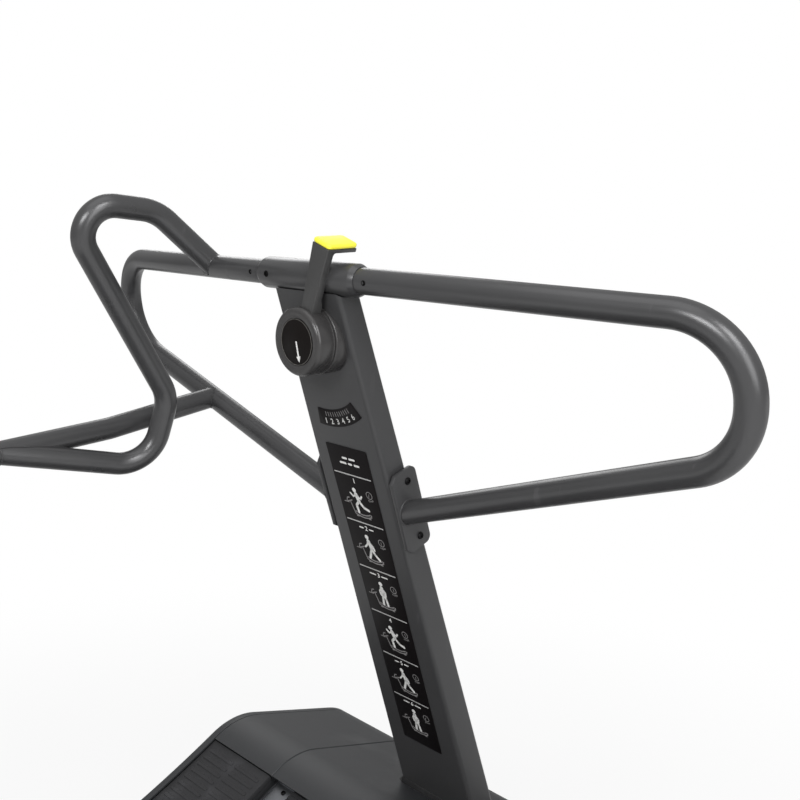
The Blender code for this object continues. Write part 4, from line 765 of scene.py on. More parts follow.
# The belt's path
class BeltPath:
    """Upper track arc, front drum, sagging lower run and rear drum, as arcs in the (y, z) plane."""

    def __init__(self):
        front, rear = FRONT_DRUM, REAR_DRUM
        middle = (front + rear) / 2
        along = (front - rear).normalized()
        normal = Vector((-along.y, along.x))
        half = (front - rear).length / 2
        self.upper = middle + normal * math.sqrt((TRACK_RADIUS + DRUM_RADIUS) ** 2 - half ** 2)
        lower = middle + normal * math.sqrt((SAG_RADIUS - DRUM_RADIUS) ** 2 - half ** 2)
        self.track_front = self.angle(self.upper, front)
        self.track_rear = self.angle(self.upper, rear)
        self.front_top = self.angle(front, self.upper)
        self.rear_top = self.angle(rear, self.upper)
        front_low = self.angle(lower, front)
        rear_low = self.angle(lower, rear)
        self.pieces = [
            (self.upper, TRACK_RADIUS, self.track_rear, self.track_front, -1),
            (front, DRUM_RADIUS, self.front_top, front_low, 1),
            (lower, SAG_RADIUS, front_low, rear_low, 1),
            (rear, DRUM_RADIUS, rear_low + FULL, self.rear_top, 1),
        ]

    @staticmethod
    def angle(start, end):
        return math.atan2(end.y - start.y, end.x - start.x)

    def length(self):
        return sum(abs(end - start) * radius for _, radius, start, end, _ in self.pieces)

    def ring(self, height, spacing=0.006):
        """The whole path moved outwards, as a closed outline."""
        outline = []
        for centre, radius, start, end, outward in self.pieces:
            steps = max(8, round(abs(end - start) * radius / spacing))
            outline += arc(centre, radius + outward * height, start, end, steps)[:-1]
        return outline


PATH = BeltPath()


def nose_points(margin, bottom, front):
    slope = arc(FRONT_DRUM, DRUM_RADIUS + margin, NOSE_ANGLE, PATH.front_top, 12)
    top = slope[0]
    corner = (front, top[1] - math.cos(NOSE_ANGLE) / math.sin(NOSE_ANGLE) * (front - top[0]))
    rounded = rounded_path([(0, front, bottom), (0, *corner), (0, *top)], NOSE_CORNER)
    return [(point.y, point.z) for point in rounded[:-1]] + slope


def tail_points(margin, bottom):
    tail = arc(REAR_DRUM, DRUM_RADIUS + margin, PATH.rear_top, math.pi, 20)
    return tail + [(tail[-1][0], bottom)]


def machine_outline(margin, bottom, front):
    running = arc(PATH.upper, TRACK_RADIUS - margin, PATH.track_front, PATH.track_rear, 60)
    return nose_points(margin, bottom, front) + running[1:-1] + tail_points(margin, bottom)


def track_angle(y):
    return math.asin((y - PATH.upper.x) / TRACK_RADIUS) - math.pi / 2


# Mast
def mast_size(up):
    part = (MAST_TOP - up) / MAST_LENGTH
    return [top + (foot - top) * part for top, foot in (MAST_WIDTHS, MAST_DEPTHS)]


def mast_ring(up, grow, corner, steps=7):
    """The mast's section at a height along it, moved outwards."""
    width, depth = mast_size(up)
    x, near, far = width / 2 + grow - corner, corner - grow, depth + grow - corner
    ring = []
    for i, spot in enumerate(((x, far), (-x, far), (-x, near), (x, near))):
        ring += arc(spot, corner, math.pi / 2 * i, math.pi / 2 * (i + 1), steps)
    return at_height(ring, up)


def in_mast(x, y, up):
    return MAST_PLACE @ Vector((x, y, up))


def make_mast():
    levels = evenly((MAST_TOP - MAST_LENGTH, MAST_TOP), 13)
    outer = [mast_ring(up, 0, MAST_CORNER) for up in levels]
    inner = [mast_ring(up, -0.003, 0.003) for up in levels[::-1]]
    saddle = turn(rectangle(0, -0.12, SLEEVE_RADIUS + SADDLE_GAP, 0.12), 96, "X", SLEEVE_PLACE)
    floor_cut = block((-0.2, MAST_FOOT_Y - 0.2, -0.2), (0.2, MAST_FOOT_Y + 0.2, MAST_FOOT_HEIGHT - 0.004))
    piece("mast_tube", loft(outer + inner, closed=True), MAST_PAINT, place=MAST_PLACE,
          cutters=[tool(saddle, MAST_PLACE), tool(floor_cut)], slot="mast_paint", replaces=["mast"])
    wide, deep, low = MAST_FOOT_PLATE
    plate = block((-wide, MAST_FOOT_Y - deep, low), (wide, MAST_FOOT_Y + deep, MAST_FOOT_HEIGHT))
    piece("mast_foot_plate", plate, FRAME_PAINT, bevel=0.0012, slot="frame_paint")
    points = [((x, y, MAST_FOOT_HEIGHT), (0, 0, 1)) for x in MAST_BOLTS[0] for y in MAST_BOLTS[1]]
    spots("mast_foot_bolts", hex_bolt(0.0065, 0.006), points, ZINC, slot="steel")


# Handlebar
def bar_point(x):
    kink = SLEEVE_HALF + 0.005
    part = max(0, (abs(x) - kink) / (LOOP_REACH - kink))
    return Vector((x, MAST_DEPTHS[0] / 2 + LOOP_SWEEP * part, MAST_TOP - LOOP_DROP * part))


def plate_x():
    return mast_size(-PLATE_DOWN - PLATE_LENGTH / 2)[0] / 2 + HAIR


def loop_corners(side):
    top = bar_point(side * LOOP_REACH)
    low = top + Vector((0, LOOP_LOWER_SWEEP - LOOP_SWEEP, -LOOP_SIDE_HEIGHT))
    end = Vector((side * (plate_x() + PLATE_THICKNESS), MAST_DEPTHS[0] / 2, -PLATE_DOWN))
    return top, low, end


def tube_lines(spot, heading, radius, steps=48):
    """Points round the end of a tube that starts at the spot."""
    side = heading.normalized().orthogonal().normalized()
    other = heading.normalized().cross(side)
    return [spot + side * a + other * b for a, b in disc((0, 0), radius, steps)]


def saddle_line(spot, heading, radius, main_spot, main_heading, main_radius):
    """Where a branch tube's surface meets a main tube's surface, on the side that the branch comes from."""
    heading, main_heading = heading.normalized(), main_heading.normalized()
    across = heading - main_heading * heading.dot(main_heading)
    points = []
    for start in tube_lines(spot, heading, radius):
        away = (start - main_spot) - main_heading * (start - main_spot).dot(main_heading)
        a, b = across.dot(across), 2 * away.dot(across)
        root = math.sqrt(max(0.0, b * b - 4 * a * (away.dot(away) - main_radius ** 2)))
        points.append(start + heading * ((-b - root) / (2 * a)))
    return points


def make_handlebar():
    r, half = SLEEVE_RADIUS, SLEEVE_HALF
    profile = mirrored([(TUBE_RADIUS + 0.0004, -half), (r - 0.0035, -half), (r - 0.0032, 0.0006 - half),
                        (r - 0.0004, 0.0064 - half), (r, 0.0076 - half)], 1, -1)
    piece("handlebar_sleeve", turn(profile, 96, "X", SLEEVE_PLACE), TUBE_PAINT, place=MAST_PLACE,
          slot="tube_paint", replaces=["top_sleeve"], sharp=20)
    for name, side in SIDES:
        top, low, end = loop_corners(side)
        kink = bar_point(side * (half + 0.005))
        start = Vector((side * 0.004, kink.y, kink.z))
        points = [start] + rounded_path([kink, top, low, end - (end - low).normalized() * 0.0004], LOOP_BEND)
        tube("loop_tube_" + name, points, TUBE_RADIUS, place=MAST_PLACE, slot="tube_paint",
             replaces=["handle_loop_" + name])
        heading = end - low
        bead = [spot + heading * ((end.x - spot.x) / heading.x)
                for spot in tube_lines(low, heading, TUBE_RADIUS + 0.0006)]
        tube("loop_weld_" + name, bead, 0.0013, MAST_PAINT, sides=10, cyclic=True, place=MAST_PLACE,
             slot="mast_paint")
    # The set screws take the near-black film: painted shade for the holes in the tubes and sleeve.
    for name, head, places, radius, raised in (
            ("tube_set_screws", button_screw(0.0033, 0.0010, 0.82), (-0.106, 0.106), TUBE_RADIUS, 0.0003),
            ("sleeve_set_screw", button_screw(0.0042, 0.0012, 0.84), (-0.066,), SLEEVE_RADIUS, 0.0004)):
        screws = [(MAST_PLACE @ bar_point(x) + Vector((0, raised - radius, 0)), (0, -1, 0)) for x in places]
        spots(name, head, screws, HOLE_SHADE_BLACK, slot="steel")


def make_plates():
    half, corner, cut = PLATE_LENGTH / 2, 0.010, 0.009
    rounded = rounded_path([(0, corner * 2, -half), (0, PLATE_WIDTH, -half), (0, PLATE_WIDTH, half),
                            (0, corner * 2, half)], corner, math.radians(10))
    outline = [(p.y, p.z) for p in rounded] + [(cut, half), (0, half - cut), (0, cut - half), (cut, -half)]
    outline = [(y, z - PLATE_DOWN) for y, z in outline]
    near, far = plate_x(), plate_x() + PLATE_THICKNESS
    bolts = []
    for name, side in SIDES:
        piece("loop_clamp_" + name, prism(outline, side * near, side * far), MAST_PAINT, place=MAST_PLACE,
              bevel=0.0007, slot="mast_paint", replaces=["loop_plate_" + name])
        facing = MAST_PLACE.to_3x3() @ Vector((side, 0, 0))
        for up in (BOLT_SPREAD, -BOLT_SPREAD):
            bolts.append((in_mast(side * (far + 0.0002), BOLT_DEPTH, up - PLATE_DOWN), facing))
    spots("loop_clamp_bolts", button_screw(0.0052, 0.0026, 0.62), bolts, BLACK_STEEL, slot="steel",
          replaces=["plate_bolt_upper", "plate_bolt_lower"])


# Left grab handle and side rail
def make_side_handles():
    _, low, end = loop_corners(-1)
    rail_start = MAST_PLACE @ (low + (end - low) * ((SIDE_RAIL_CORNER[0] - low.x) / (end.x - low.x)))
    corner, knee = KNOB_POINT + Vector(SIDE_RAIL_CORNER), KNOB_POINT + Vector(SIDE_RAIL_KNEE)
    leg = [Vector((*SIDE_RAIL_LEG, z)) for z in (SIDE_RAIL_TOP, SIDE_RAIL_FOOT)]
    tube("side_rail_tube", rounded_path([rail_start, corner, knee] + leg, SIDE_RAIL_BEND), TUBE_RADIUS,
         slot="tube_paint", replaces=["side_rail_left"])
    meet = corner + (knee - corner) * ((KNOB_POINT.y + SIDE_RAIL_MEET_Y - corner.y) / (knee.y - corner.y))
    grab_start = MAST_PLACE @ bar_point(GRAB_START_X)
    corners = [grab_start] + [KNOB_POINT + Vector(c) for c in GRAB_CORNERS] + [meet]
    tube("grab_handle_tube", rounded_path(corners, GRAB_BENDS), TUBE_RADIUS, slot="tube_paint",
         replaces=["grab_handle_left"])
    turned = MAST_PLACE.to_3x3()
    bar_way = turned @ (bar_point(-0.4) - bar_point(-0.2))
    joints = [
        ("rail_to_loop", corner, rail_start - corner, MAST_PLACE @ low, turned @ (end - low)),
        ("grab_to_bar", corners[1], grab_start - corners[1], grab_start, bar_way),
        ("grab_to_rail", corners[-2], meet - corners[-2], corner, knee - corner),
    ]
    for name, spot, heading, main, main_way in joints:
        bead = saddle_line(spot, heading, TUBE_RADIUS + 0.0004, main, main_way, TUBE_RADIUS + 0.0002)
        tube("weld_" + name, bead, 0.0008, sides=10, cyclic=True, slot="tube_paint")
    profile = [(TUBE_RADIUS - 0.002, 0), (0.0285, 0), (0.0290, 0.004), (0.0275, 0.005),
               (TUBE_RADIUS + 0.003, 0.005), (TUBE_RADIUS + 0.0004, 0.009), (TUBE_RADIUS - 0.002, 0.009)]
    piece("side_rail_flange", turn(profile, 64, "Z", (*SIDE_RAIL_LEG, SIDE_RAIL_FOOT)), FRAME_PAINT,
          slot="frame_paint")
    bolts = [((x, y, SIDE_RAIL_FOOT + 0.005), (0, 0, 1))
             for x, y in arc(SIDE_RAIL_LEG, 0.0235, math.pi / 4, math.pi * 7 / 4, 3)]
    spots("side_rail_flange_bolts", button_screw(0.0032, 0.0024), bolts, BLACK_STEEL, slot="steel")


# Selector
def make_selector():
    seat = tool(block((-0.1, -HAIR, -0.1), (0.1, 0.1, 0.1)), MAST_PLACE)
    flange = [(0, -0.03), (0.0445, -0.03), (0.0445, 0.0124), (0.0440, 0.0134), (0.0432, 0.0138), (0, 0.0138)]
    piece("selector_flange", turn(flange, 128), KNOB_PLASTIC, place=KNOB_PLACE, cutters=[seat],
          slot="knob_plastic", replaces=["selector_base"], sharp=50)
    wide = DIAL_RADIUS + 0.0006
    ring = [(0.012, 0.0141), (0.0418, 0.0141), (0.0430, 0.0152), (0.0430, 0.0164), (0.0427, 0.0168),
            (0.0427, 0.0173), (0.0430, 0.0177), (0.0430, 0.0330)]
    ring += arc((0.0368, 0.0354), 0.0062, 0, math.pi / 2, 8)
    ring += [(0.0332, 0.0414), (0.0306, 0.0404), (wide, 0.0400), (wide, 0.0392), (0.012, 0.0392)]
    piece("selector_ring", turn(ring, 128), KNOB_PLASTIC, "selector", KNOB_PLACE, slot="knob_plastic",
          replaces=["selector_knob"], sharp=60)
    face = [(0, 0.0394), (DIAL_RADIUS, 0.0394), (DIAL_RADIUS, 0.0402), (DIAL_RADIUS - 0.0004, 0.0405),
            (0, 0.0405)]
    piece("selector_disc", turn(face, 128), DIAL_BLACK, "selector", KNOB_PLACE, slot="dial_black",
          replaces=["dial_face"], sharp=60)
    line = rectangle(DIAL_RADIUS - 0.0010, 0.0403, DIAL_RADIUS - 0.0005, 0.0408)
    piece("selector_disc_line", turn(line, 128), DIM_INK, "selector", KNOB_PLACE)
    arrow = [(-0.0010, 0.001), (-0.0010, -0.0178), (-0.0036, -0.0178), (0, -0.0250), (0.0036, -0.0178),
             (0.0010, -0.0178), (0.0010, 0.001)]
    piece("selector_arrow", loft([at_height(arrow, z) for z in (0.0405, 0.0410)]), WHITE_INK, "selector",
          KNOB_PLACE @ Matrix.Rotation(ARROW_TURN, 4, "Z"))
    make_lever()


def make_lever():
    root, front, back, under = 0.034, 0.035, -0.011, LEVER_TOP - 0.005
    side = [(root, front), (LEVER_TOP, front), (LEVER_TOP, back), (under, back), (under, front - 0.0132),
            (under - 0.0012, front - 0.0116), (under - 0.0035, front - 0.0108), (0.060, front - 0.0108),
            (0.050, front - 0.0150), (root, front - 0.0160)]
    rings = []
    for sign in (-1, 1):
        parts = [(y - 0.036) / (LEVER_TOP - 0.036) for y, _ in side]
        halves = [(LEVER_WIDTHS[0] + (LEVER_WIDTHS[1] - LEVER_WIDTHS[0]) * part) / 2 for part in parts]
        rings.append([(sign * half, y, z) for half, (y, z) in zip(halves, side)])
    piece("selector_lever_arm", loft(rings), LEVER_PAINT, "selector", LEVER_PLACE, bevel=0.0009, segments=3,
          slot="knob_plastic", replaces=["selector_lever"])
    low = LEVER_TOP + HAIR
    cap = slab(rounded_box(0.0152, front + 0.0005, back - 0.0005, 0.0052), low, low + 0.006)
    piece("selector_lever_cap", cap, YELLOW, "selector", LEVER_PLACE, bevel=0.0022, segments=5,
          slot="cap_yellow", replaces=["lever_cap"], sharp=60)


# Printed plates on the mast
def printed(name, strokes, finish, face=INK_FACE):
    """Flat shapes in (x, up) of the mast face, each a list of corners, standing off the face."""
    bm = bmesh.new()
    for outline in strokes:
        slab(outline, -face, INK_DEPTH - face, bm)
    piece(name, bm, finish, place=MAST_PLACE)


def words(name, size, places, finish):
    """Plain figures on the mast face: (text, x, up, lean) each, centred."""
    bm = bmesh.new()
    for word, x, up, lean in places:
        curve = bpy.data.curves.new("word", "FONT")
        curve.body = word
        curve.size = size
        curve.align_x = "CENTER"
        curve.align_y = "CENTER"
        curve.offset = size * 0.012
        curve.extrude = INK_DEPTH / 2
        holder = linked("word", curve)
        mesh = evaluated_mesh(holder)
        mesh.transform(Matrix.Translation((x, -INK_FACE, up)) @ Matrix.Rotation(math.pi / 2, 4, "X")
                       @ Matrix.Rotation(lean, 4, "Z"))
        bm.from_mesh(mesh)
        bpy.data.objects.remove(holder)
    piece(name, bm, finish, place=MAST_PLACE)


def bar(start, end, width):
    """A straight stroke with round ends."""
    a, b = Vector(start), Vector(end)
    along = math.atan2(b.y - a.y, b.x - a.x)
    quarter = math.pi / 2
    return (arc(b, width / 2, along - quarter, along + quarter, 5)
            + arc(a, width / 2, along + quarter, along + 3 * quarter, 5))


def bars(centre, size, rows):
    """Strokes from (x, y, x, y, width) rows that count in that size from the centre."""
    x, y = centre
    return [bar((x + a * size, y + b * size), (x + c * size, y + d * size), width * size)
            for a, b, c, d, width in rows]


def plaque(name, outline, replaced):
    piece(name, slab(outline, -PLAQUE_FACE, -HAIR), PLAQUE_BLACK, place=MAST_PLACE, bevel=0.0002,
          slot="plaque_black", replaces=[replaced])


def scale_spot(degrees, radius):
    """A point of the scale, so many degrees to the right of straight down from its centre."""
    angle = math.radians(degrees - 90)
    return SCALE_CENTRE[0] + radius * math.cos(angle), SCALE_CENTRE[1] + radius * math.sin(angle)


def make_scale():
    """Fan with the six positions, laid as in the photograph."""
    inner, outer = SCALE_RADII
    around = evenly(SCALE_ENDS, 33)
    fan = [scale_spot(t, outer) for t in around] + [scale_spot(t, inner) for t in around[::-1]]
    plaque("selector_scale_plate", fan, "scale_plaque")
    figures = [(str(i + 1), *scale_spot(t, SCALE_FIGURE_RADIUS), math.radians(t))
               for i, t in enumerate(evenly(SCALE_FIGURE_ENDS, 6))]
    words("selector_scale_figures", 0.0114, figures, PALE_INK)
    strokes = [bar(*[scale_spot(t, radius) for radius in SCALE_TICK_RADII], 0.0009)
               for t in evenly(SCALE_TICK_ENDS, 11)]
    printed("selector_scale_ticks", strokes, GREY_INK)


JOINTS = ("head", "neck", "hip", "elbow_front", "hand_front", "elbow_back", "hand_back",
          "knee_front", "foot_front", "knee_back", "foot_back")
STANCES = (
    ((-0.10, 0.95), (-0.06, 0.78), (0.02, 0.50), (-0.22, 0.66), (-0.34, 0.78), (0.14, 0.62), (0.22, 0.74),
     (-0.16, 0.30), (-0.12, 0.02), (0.20, 0.28), (0.44, 0.20)),
    ((-0.08, 0.96), (-0.05, 0.79), (0.03, 0.48), (-0.16, 0.60), (-0.28, 0.48), (0.14, 0.58), (0.18, 0.42),
     (-0.06, 0.26), (-0.16, 0.02), (0.14, 0.24), (0.34, 0.04)),
    ((0.0, 0.96), (0.0, 0.78), (0.02, 0.50), (-0.14, 0.60), (-0.10, 0.42), (0.16, 0.60), (0.14, 0.42),
     (-0.05, 0.26), (-0.08, 0.0), (0.12, 0.26), (0.15, 0.0)),
)
LIMBS = (("neck", "elbow", "hand", 0.075), ("hip", "knee", "foot", 0.11))


def figure(centre, size, stance):
    """Strokes of a plain walking figure of the pictogram kind."""
    at = dict(zip(JOINTS, stance))
    head = [centre[i] + at["head"][i] * size for i in (0, 1)]
    rows = [(*at["neck"], *at["hip"], 0.17)]
    for top, middle, end, width in LIMBS:
        for way in ("_front", "_back"):
            rows += [(*at[top], *at[middle + way], width), (*at[middle + way], *at[end + way], width)]
    return [disc(head, 0.095 * size)] + bars(centre, size, rows)


def machine_sign(centre, width):
    """A small outline of the machine: curved deck, two feet and a bar, in thin strokes."""
    hub = (centre[0], centre[1] + width * 0.9)
    turns = (math.radians(242), math.radians(298))
    rows = []
    for side in (-1, 1):
        rows += [(side * 0.42, 0.04, side * 0.46, 0.12, 0.05), (side * 0.28, -0.07, side * 0.37, -0.07, 0.05)]
    rows += [(-0.46, 0.14, -0.58, 0.56, 0.045), (-0.70, 0.50, -0.46, 0.60, 0.045)]
    decks = [band(hub, width * near, width * far, *turns, 16) for near, far in ((0.84, 0.89), (0.95, 1))]
    return decks + bars(centre, width, rows)


def lever_sign(centre, size):
    """A bent lever on its base, in thin strokes."""
    return bars(centre, size, [(-0.5, -0.3, 0.3, -0.3, 0.12), (-0.1, -0.3, 0.15, 0.35, 0.12),
                               (0.15, 0.35, 0.5, 0.45, 0.16)])


def dial_sign(centre, radius, level):
    """A small dial with a pointer and its arc of marks."""
    rows = [(0, 0.3, 0.12 * (level - 3), -0.55, 0.14)]
    for i in range(6):
        angle = math.radians(-112 + 12 * i)
        x, y = math.cos(angle), math.sin(angle)
        near, far = (1.35, 1.62) if i != level else (1.25, 1.75)
        rows.append((near * x, near * y, far * x, far * y, 0.15))
    return [band(centre, radius * 0.82, radius, 0, FULL - 0.01, 24)] + bars(centre, radius, rows)


def make_chart():
    outline = rounded_box(CHART_HALF, -CHART_TOP, -CHART_TOP - CHART_LENGTH, 0.002)
    plaque("chart_plate", outline, "chart_plaque")
    rules = [rectangle(-0.0355, -v - 0.0009, 0.0355, -v + 0.0009) for v in CHART_LINES]
    printed("chart_rules", rules, LINE_INK)
    numbers = [(str(i + 1), 0.0, -v - CAPTION_DOWN, 0) for i, v in enumerate(CHART_LINES)]
    words("chart_numbers", 0.0105, numbers, WHITE_INK)
    title, white, grey = [], [], []
    for up, parts in CHART_TITLE:
        x = -(sum(parts) + 0.003 * (len(parts) - 1)) / 2
        for part in parts:
            title.append(bar((x + 0.0015, up), (x + part - 0.0015, up), 0.0032))
            x += part + 0.003
    for i, v in enumerate(CHART_LINES):
        reach = (0.0, 0.013, 0.017)[i % 3]
        for side in (-1, 1) if reach else ():
            title.append(bar((side * 0.0062, -v - CAPTION_DOWN), (side * reach, -v - CAPTION_DOWN), 0.0022))
        white += figure((-0.001, -v - 0.0600), 0.038, STANCES[i % 3])
        grey += machine_sign((0.002, -v - 0.0640), 0.036)
        grey += dial_sign((0.0240, -v - 0.0260), 0.0060, CHART_LEVELS[i])
        grey += lever_sign((-0.0250, -v - 0.0440), 0.0110)
    printed("chart_bars", title, WHITE_INK)
    printed("chart_figures", white, WHITE_INK, INK_FACE + 0.0001)
    printed("chart_signs", grey, GREY_INK)


# Running belt
def make_belt():
    count = round(PATH.length() / SLAT_PITCH)
    half = (PATH.length() / count - SLAT_SPACE) / 2
    line = [(0, y, z) for y, z in PATH.ring(0)]
    low, high = BELT_THICKNESS, BELT_THICKNESS + SLAT_THICKNESS
    rim = high - 0.0006
    top = mirrored([(-half, low), (-half, rim - 0.0006), (-half + 0.0008, rim), (-half + 0.0024, rim),
                    (-half + 0.0030, high - 0.0045)], -1, 1)
    channel = [(half - 0.004, low), (half - 0.005, low + 0.004), (0.005, low + 0.004), (0.005, low)]
    guide = [(-0.0022, low + 0.001), (-0.0022, low - 0.014), (-0.006, low - 0.016), (-0.006, low - 0.018)]
    slat = prism(top + mirrored(channel, -1, 1), 0.002 - SLAT_HALF, SLAT_HALF - 0.002)
    prism(mirrored(guide, -1, 1), -GUIDE_HALF, GUIDE_HALF, slat)
    row("belt_slats", slat, line, count, SLAT_METAL, cyclic=True, slot="slat_aluminium",
        replaces=["slat_belt"])
    inner = half - 0.0032
    edges = evenly((-inner, inner), PAD_RIDGES + 1)
    ridges = []
    for start, end in zip(edges, edges[1:]):
        ridges += [(start + 0.0005, high - 0.0016), (start + 0.0013, high), (end - 0.0013, high),
                   (end - 0.0005, high - 0.0016)]
    pad = [(-inner, high - 0.0044)] + ridges + [(inner, high - 0.0044)]
    row("belt_tread_pads", prism(pad, -PAD_HALF, PAD_HALF), line, count, PAD_RUBBER, cyclic=True)
    screws = [(button_screw(0.0042, 0.0022, 0.5), Matrix.Translation((x, y, high - 0.0045)))
              for x in (-BELT_X, BELT_X) for y in (-0.014, 0.014)]
    row("belt_slat_screws", gathered(screws), line, count, BLACK_STEEL, cyclic=True)
    ends, carriers = bmesh.new(), bmesh.new()
    outer, inner = PATH.ring(low - 0.0002, 0.012), PATH.ring(0.0002, 0.012)
    for side in (-1, 1):
        rings = []
        for back, inset in ((0.0022, 0.0), (0.0006, 0.0), (0.0, 0.0008)):
            outline = rectangle(-half + inset, low + inset, half - inset, rim - inset)
            rings.append([(side * (SLAT_HALF - back), y, z) for y, z in outline])
        loft(rings, bm=ends)
        a, b = side * (BELT_X - BELT_WIDTH / 2), side * (BELT_X + BELT_WIDTH / 2)
        rings = [[(a, *near), (b, *near), (b, *far), (a, *far)] for far, near in zip(outer, inner)]
        loft(rings, closed=True, bm=carriers)
    row("belt_slat_ends", ends, line, count, TRIM_PLASTIC, cyclic=True)
    piece("belt_carriers", carriers, BELT_RUBBER, slot="belt_rubber")


def make_roller_tracks():
    radius = TRACK_RADIUS + 2 * HAIR + 0.016
    spare = 0.09 / TRACK_RADIUS
    start, end = PATH.track_rear + spare, PATH.track_front - spare
    count = round((end - start) * TRACK_RADIUS / ROLLER_PITCH) + 1
    line = [(0, y, z) for y, z in arc(PATH.upper, radius, start, end, 80)]
    rail = band(PATH.upper, radius + 0.009, radius - 0.009, start - 0.01, end + 0.01, 48)
    profile = [(0, 0.1918), (0.0050, 0.1918), (0.0056, 0.1925), (0.0132, 0.1925), (0.0138, 0.1920),
               (0.0155, 0.1920), (0.0160, 0.1926), (0.0160, 0.2074), (0.0155, 0.2080), (0.0138, 0.2080),
               (0.0132, 0.2074), (0.0056, 0.2074), (0.0050, 0.2082), (0.0050, 0.2290), (0, 0.2290)]
    for name, side in SIDES:
        near, far = [side * x for x in ROLLER_RAIL_X]
        piece("roller_rail_" + name, prism(rail, near, far), ZINC, bevel=0.0008, slot="steel",
              replaces=["roller_track_" + name])
        roller = turn([(r, side * x) for r, x in profile], 28, "X")
        row("belt_rollers_" + name, roller, line, count, SHAFT_STEEL)


# Turned pieces and the spring inside the machine
def make_turned():
    drum = mirrored([(0.0128, -0.217), (0.0794, -0.217), (0.0794, -0.2165), (0.0788, -0.216),
                     (0.0788, -0.184), (0.0794, -0.1835), (0.0794, -0.183), (0.060, -0.183), (0.056, -0.188),
                     (0.040, -0.188), (0.034, -0.183), (0.030, -0.180)], 1, -1)
    for prefix, centre in (("front", FRONT_DRUM), ("rear", REAR_DRUM)):
        piece(prefix + "_drum_turned", turn(drum, 96, "X", (0, *centre)), COVER_PLASTIC, prefix + "_axle",
              slot="cover_plastic", replaces=[prefix + "_drum"])
    wheel = mirrored([(0.0103, -0.006), (0.022, -0.006), (0.024, -0.0048), (0.074, -0.0048), (0.078, -0.006),
                      (0.0994, -0.006), (0.1, -0.0054)], 1, -1)
    piece("flywheel_disc", turn(wheel, 128, "X", FLYWHEEL_CENTRE), SHAFT_STEEL, "flywheel",
          slot="slat_aluminium", replaces=["flywheel"])
    pulley = [(0.0128, 0.258), (0.0644, 0.258)]
    for i in range(6):
        x = 0.2592 + 0.0021 * i
        pulley += [(0.0650, x), (0.0634, x + 0.00105)]
    pulley += [(0.0650, 0.2713), (0.0644, 0.272), (0.050, 0.272), (0.048, 0.269), (0.026, 0.269),
               (0.024, 0.272), (0.0128, 0.272)]
    piece("drive_pulley_turned", turn(pulley, 96, "X", (0, *FRONT_DRUM)), CAST_IRON, "front_axle",
          slot="cover_plastic", replaces=["drive_pulley"])


def make_spring():
    """Coil between the carriage's arm and the bracket's shelf; made at one length, though the real one
    shortens as the arm swings up.
    """
    packed = frame["nodes"]["carriage_spring"]
    points = [packed.matrix_world @ v.co for v in packed.data.vertices]
    spans = [[point[k] for point in points] for k in range(3)]
    (x0, x1), (y0, y1), (low, high) = [(min(span), max(span)) for span in spans]
    wire, turns, flat, steps = 0.0006, 8, 0.75, 24
    middle = Vector(((x0 + x1) / 2, (y0 + y1) / 2, 0))
    line = []
    for i in range(steps * turns + 1):
        share = min(1.0, max(0.0, (i / steps - flat) / (turns - 2 * flat)))
        angle, height = FULL * i / steps, low + wire + (high - low - 2 * wire) * share
        line.append(middle + Matrix.Rotation(angle, 3, "Z") @ Vector(((x1 - x0) / 2 - wire, 0, height)))
    coil = tube("carriage_spring_coil", line, wire, ZINC, sides=10, slot="steel",
                replaces=["carriage_spring"])
    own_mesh(coil)


# Steps and covers
def make_steps():
    low, high = STEP_HEIGHT - STEP_THICKNESS, STEP_HEIGHT
    top = TRACK_RADIUS - high + 0.0012
    start, end = track_angle(STEP_ENDS[0]), track_angle(STEP_ENDS[1])
    outer = COVER_WIDTH / 2 - COVER_RIM - COVER_GAP
    strip = band(PATH.upper, top, TRACK_RADIUS - low, start, end, 64)
    line = [(0, y, z) for y, z in arc(PATH.upper, top, start + 0.010, end - 0.010, 120)]
    for name, side in SIDES:
        piece("step_board_" + name, prism(strip, side * STEP_INNER_X, side * outer), STEP_GRIP, bevel=0.0012,
              slot="step_rubber", replaces=["step_" + name])
        ribs = bmesh.new()
        middle, reach = side * (STEP_INNER_X + outer) / 2, (outer - STEP_INNER_X) / 2 - 0.010
        for x0, x1 in ((-reach, -0.004), (0.004, reach)):
            rings = []
            for x, inset in ((x0, 0.0018), (x0 + 0.0018, 0), (x1 - 0.0018, 0), (x1, 0.0018)):
                foot, head = 0.0040 - inset, 0.0026 - inset * 0.5
                section = ((-foot, -0.0004), (foot, -0.0004), (head, 0.0012), (-head, 0.0012))
                rings.append([(middle + x, y, z) for y, z in section])
            loft(rings, bm=ribs)
        row("step_ribs_" + name, ribs, line, STEP_RIBS, STEP_GRIP)


